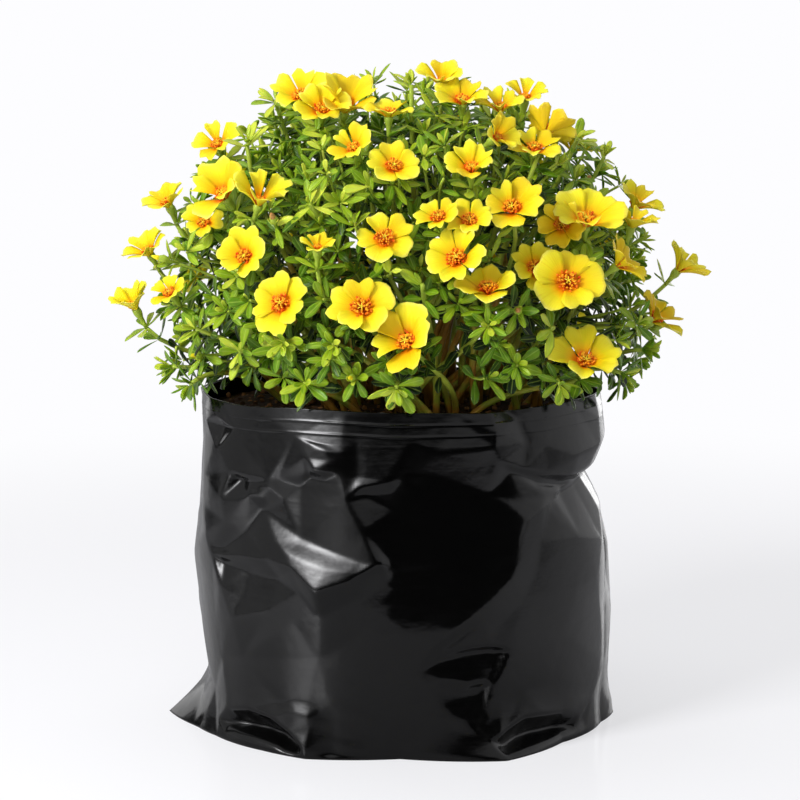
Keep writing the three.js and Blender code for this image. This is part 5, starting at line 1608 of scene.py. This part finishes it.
class StemSettings(bpy.types.PropertyGroup):
    base_radius: millimetres("Base radius", "Main stem at the soil", 2.0)
    tip_radius: millimetres("Tip radius", "Main stem at its tip", 1.15)
    colour: paint("Young colour", "Young stem", "#98a034")
    old_colour: paint("Old colour", "Older stem, flushed red", "#a87a2c")


class LeafSettings(bpy.types.PropertyGroup):
    length: millimetres("Length", "Leaves at a bloom, before each one's draw", 13.4)
    width: millimetres("Width", "Leaves at a bloom, before each one's draw", 4.5)
    thickness: millimetres("Half thickness", "From the middle of a leaf to its face", 0.45)
    side_shoots: how_many("Side shoots", "Tries for tips between the main ones", 480)
    # the deep colour that leaves inside the plant take is partly painted shade
    deep_colour: paint("Deep colour", "Leaves inside the plant", "#5a8210")
    colour: paint("Colour", "Most leaves", "#90a81c")
    young_colour: paint("Young colour", "Leaves at the tips", "#c0ca40")


class BloomSettings(bpy.types.PropertyGroup):
    petal_thickness: millimetres("Petal thickness", "Middle of a petal", 0.5)
    petal_colour: paint("Petal", "Open part of the petals", "#e2cf1b")
    throat_colour: paint("Throat", "Claws of the petals", "#f08a10")
    stamens: how_many("Stamens", "Stamens in a bloom", 44)
    bud_share: amount("Buds", "Share of outer side shoots with a bud", 0.12, min=0.0, max=1.0)


class StageSettings(bpy.types.PropertyGroup):
    floor_size: millimetres("Table size", "Side of the table", 6000)
    floor_front: millimetres("Lit table", "How far in front the table is lit", 430)
    floor_colour: paint("Table", "White lacquer", "#f2f2f6")
    surround: amount("Surround", "Strength of the white surround", 0.52)
    gap_turn: amount("Gap turn", "Middle of the dark gap, in degrees", 13)
    gap_half_width: amount("Gap half width", "Half width of the dark gap, in degrees", 43)
    gap_top: amount("Gap top", "Top of the dark gap, in degrees above the horizon", 16)
    flag_turn: amount("Flag turn", "Middle of the dark flag, in degrees", -116)
    window_height: amount("Window height", "Middle of the window, in degrees above the horizon", 25)
    window_core: amount("Window core", "Bright middle that the film mirrors", 19)
    window_halo: amount("Window halo", "Soft edge that the film mirrors", 3)
    side_turn: amount("Side turn", "Middle of the side glow, in degrees", 105)
    side_glow: amount("Side glow", "Wall that the film mirrors at the right", 0.42)
    key_power: amount("Key", "Power of the key light", 22, subtype="POWER")
    edge_power: amount("Edges", "Strips that the film mirrors at its sides", 5, subtype="POWER")
    top_power: amount("Top", "Power of the top light", 3.5, subtype="POWER")
    front_power: amount("Front", "Power of the fill", 3, subtype="POWER")


# ------------------------------------------------------------------ operators


class PORTULACA_OT_film(bpy.types.Operator):
    """Build the creased black film bag"""
    bl_idname = "portulaca.film"
    bl_label = "Grow bag"

    def execute(self, context):
        build_film(context.scene.portulaca_film)
        return {"FINISHED"}


class PORTULACA_OT_soil(bpy.types.Operator):
    """Build the potting mix in the bag"""
    bl_idname = "portulaca.soil"
    bl_label = "Potting mix"

    def execute(self, context):
        build_soil(context.scene.portulaca_soil, context.scene.portulaca_film)
        return {"FINISHED"}


class PORTULACA_OT_stems(bpy.types.Operator):
    """Build the stems and flower stalks of every shoot"""
    bl_idname = "portulaca.stems"
    bl_label = "Stems"

    def execute(self, context):
        build_stems(context.scene.portulaca_stems, lay_out_plant(context.scene))
        return {"FINISHED"}


class PORTULACA_OT_leaves(bpy.types.Operator):
    """Build the leaves of every shoot"""
    bl_idname = "portulaca.leaves"
    bl_label = "Leaves"

    def execute(self, context):
        build_leaves(context.scene.portulaca_leaves, lay_out_plant(context.scene))
        return {"FINISHED"}


class PORTULACA_OT_blooms(bpy.types.Operator):
    """Build the yellow blooms with their stamens"""
    bl_idname = "portulaca.blooms"
    bl_label = "Blooms"

    def execute(self, context):
        build_blooms(context.scene.portulaca_blooms, lay_out_plant(context.scene))
        return {"FINISHED"}


class PORTULACA_OT_buds(bpy.types.Operator):
    """Build the closed buds and spent flowers"""
    bl_idname = "portulaca.buds"
    bl_label = "Buds"

    def execute(self, context):
        scene = context.scene
        build_buds(scene.portulaca_blooms, scene.portulaca_stems, lay_out_plant(scene))
        return {"FINISHED"}


class PORTULACA_OT_stage(bpy.types.Operator):
    """Build the table, the lights and the camera"""
    bl_idname = "portulaca.stage"
    bl_label = "Stage"

    def execute(self, context):
        build_stage(context.scene.portulaca_stage)
        return {"FINISHED"}


OPERATORS = (
    (PORTULACA_OT_stage, "portulaca_stage", StageSettings),
    (PORTULACA_OT_film, "portulaca_film", FilmSettings),
    (PORTULACA_OT_soil, "portulaca_soil", SoilSettings),
    (PORTULACA_OT_stems, "portulaca_stems", StemSettings),
    (PORTULACA_OT_leaves, "portulaca_leaves", LeafSettings),
    (PORTULACA_OT_blooms, "portulaca_blooms", BloomSettings),
    (PORTULACA_OT_buds, None, None),
)


class PORTULACA_PT_panel(bpy.types.Panel):
    """Lists the pieces with their sizes and colours"""
    bl_idname = "PORTULACA_PT_panel"
    bl_label = "Portulaca"
    bl_space_type = "VIEW_3D"
    bl_region_type = "UI"
    bl_category = "Portulaca"

    def draw(self, context):
        for operator, settings, group in OPERATORS:
            box = self.layout.box()
            box.operator(operator.bl_idname)
            if group:
                for name in group.__annotations__:
                    box.prop(getattr(context.scene, settings), name)


def register():
    """Registers the classes, and gives the scene their settings."""
    for operator, settings, group in OPERATORS:
        bpy.utils.register_class(operator)
        if group:
            bpy.utils.register_class(group)
            setattr(bpy.types.Scene, settings, bpy.props.PointerProperty(type=group))
    bpy.utils.register_class(PORTULACA_PT_panel)


def unregister():
    """Takes the settings and the classes away again."""
    bpy.utils.unregister_class(PORTULACA_PT_panel)
    for operator, settings, group in reversed(OPERATORS):
        if group:
            delattr(bpy.types.Scene, settings)
            bpy.utils.unregister_class(group)
        bpy.utils.unregister_class(operator)


def write_sizes():
    """Brings the view layer up to date."""
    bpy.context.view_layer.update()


def main():
    """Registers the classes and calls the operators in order."""
    register()
    for operator, _, _ in OPERATORS:
        group, name = operator.bl_idname.split(".")
        getattr(getattr(bpy.ops, group), name)()
    write_sizes()


if __name__ == "__main__":
    main()
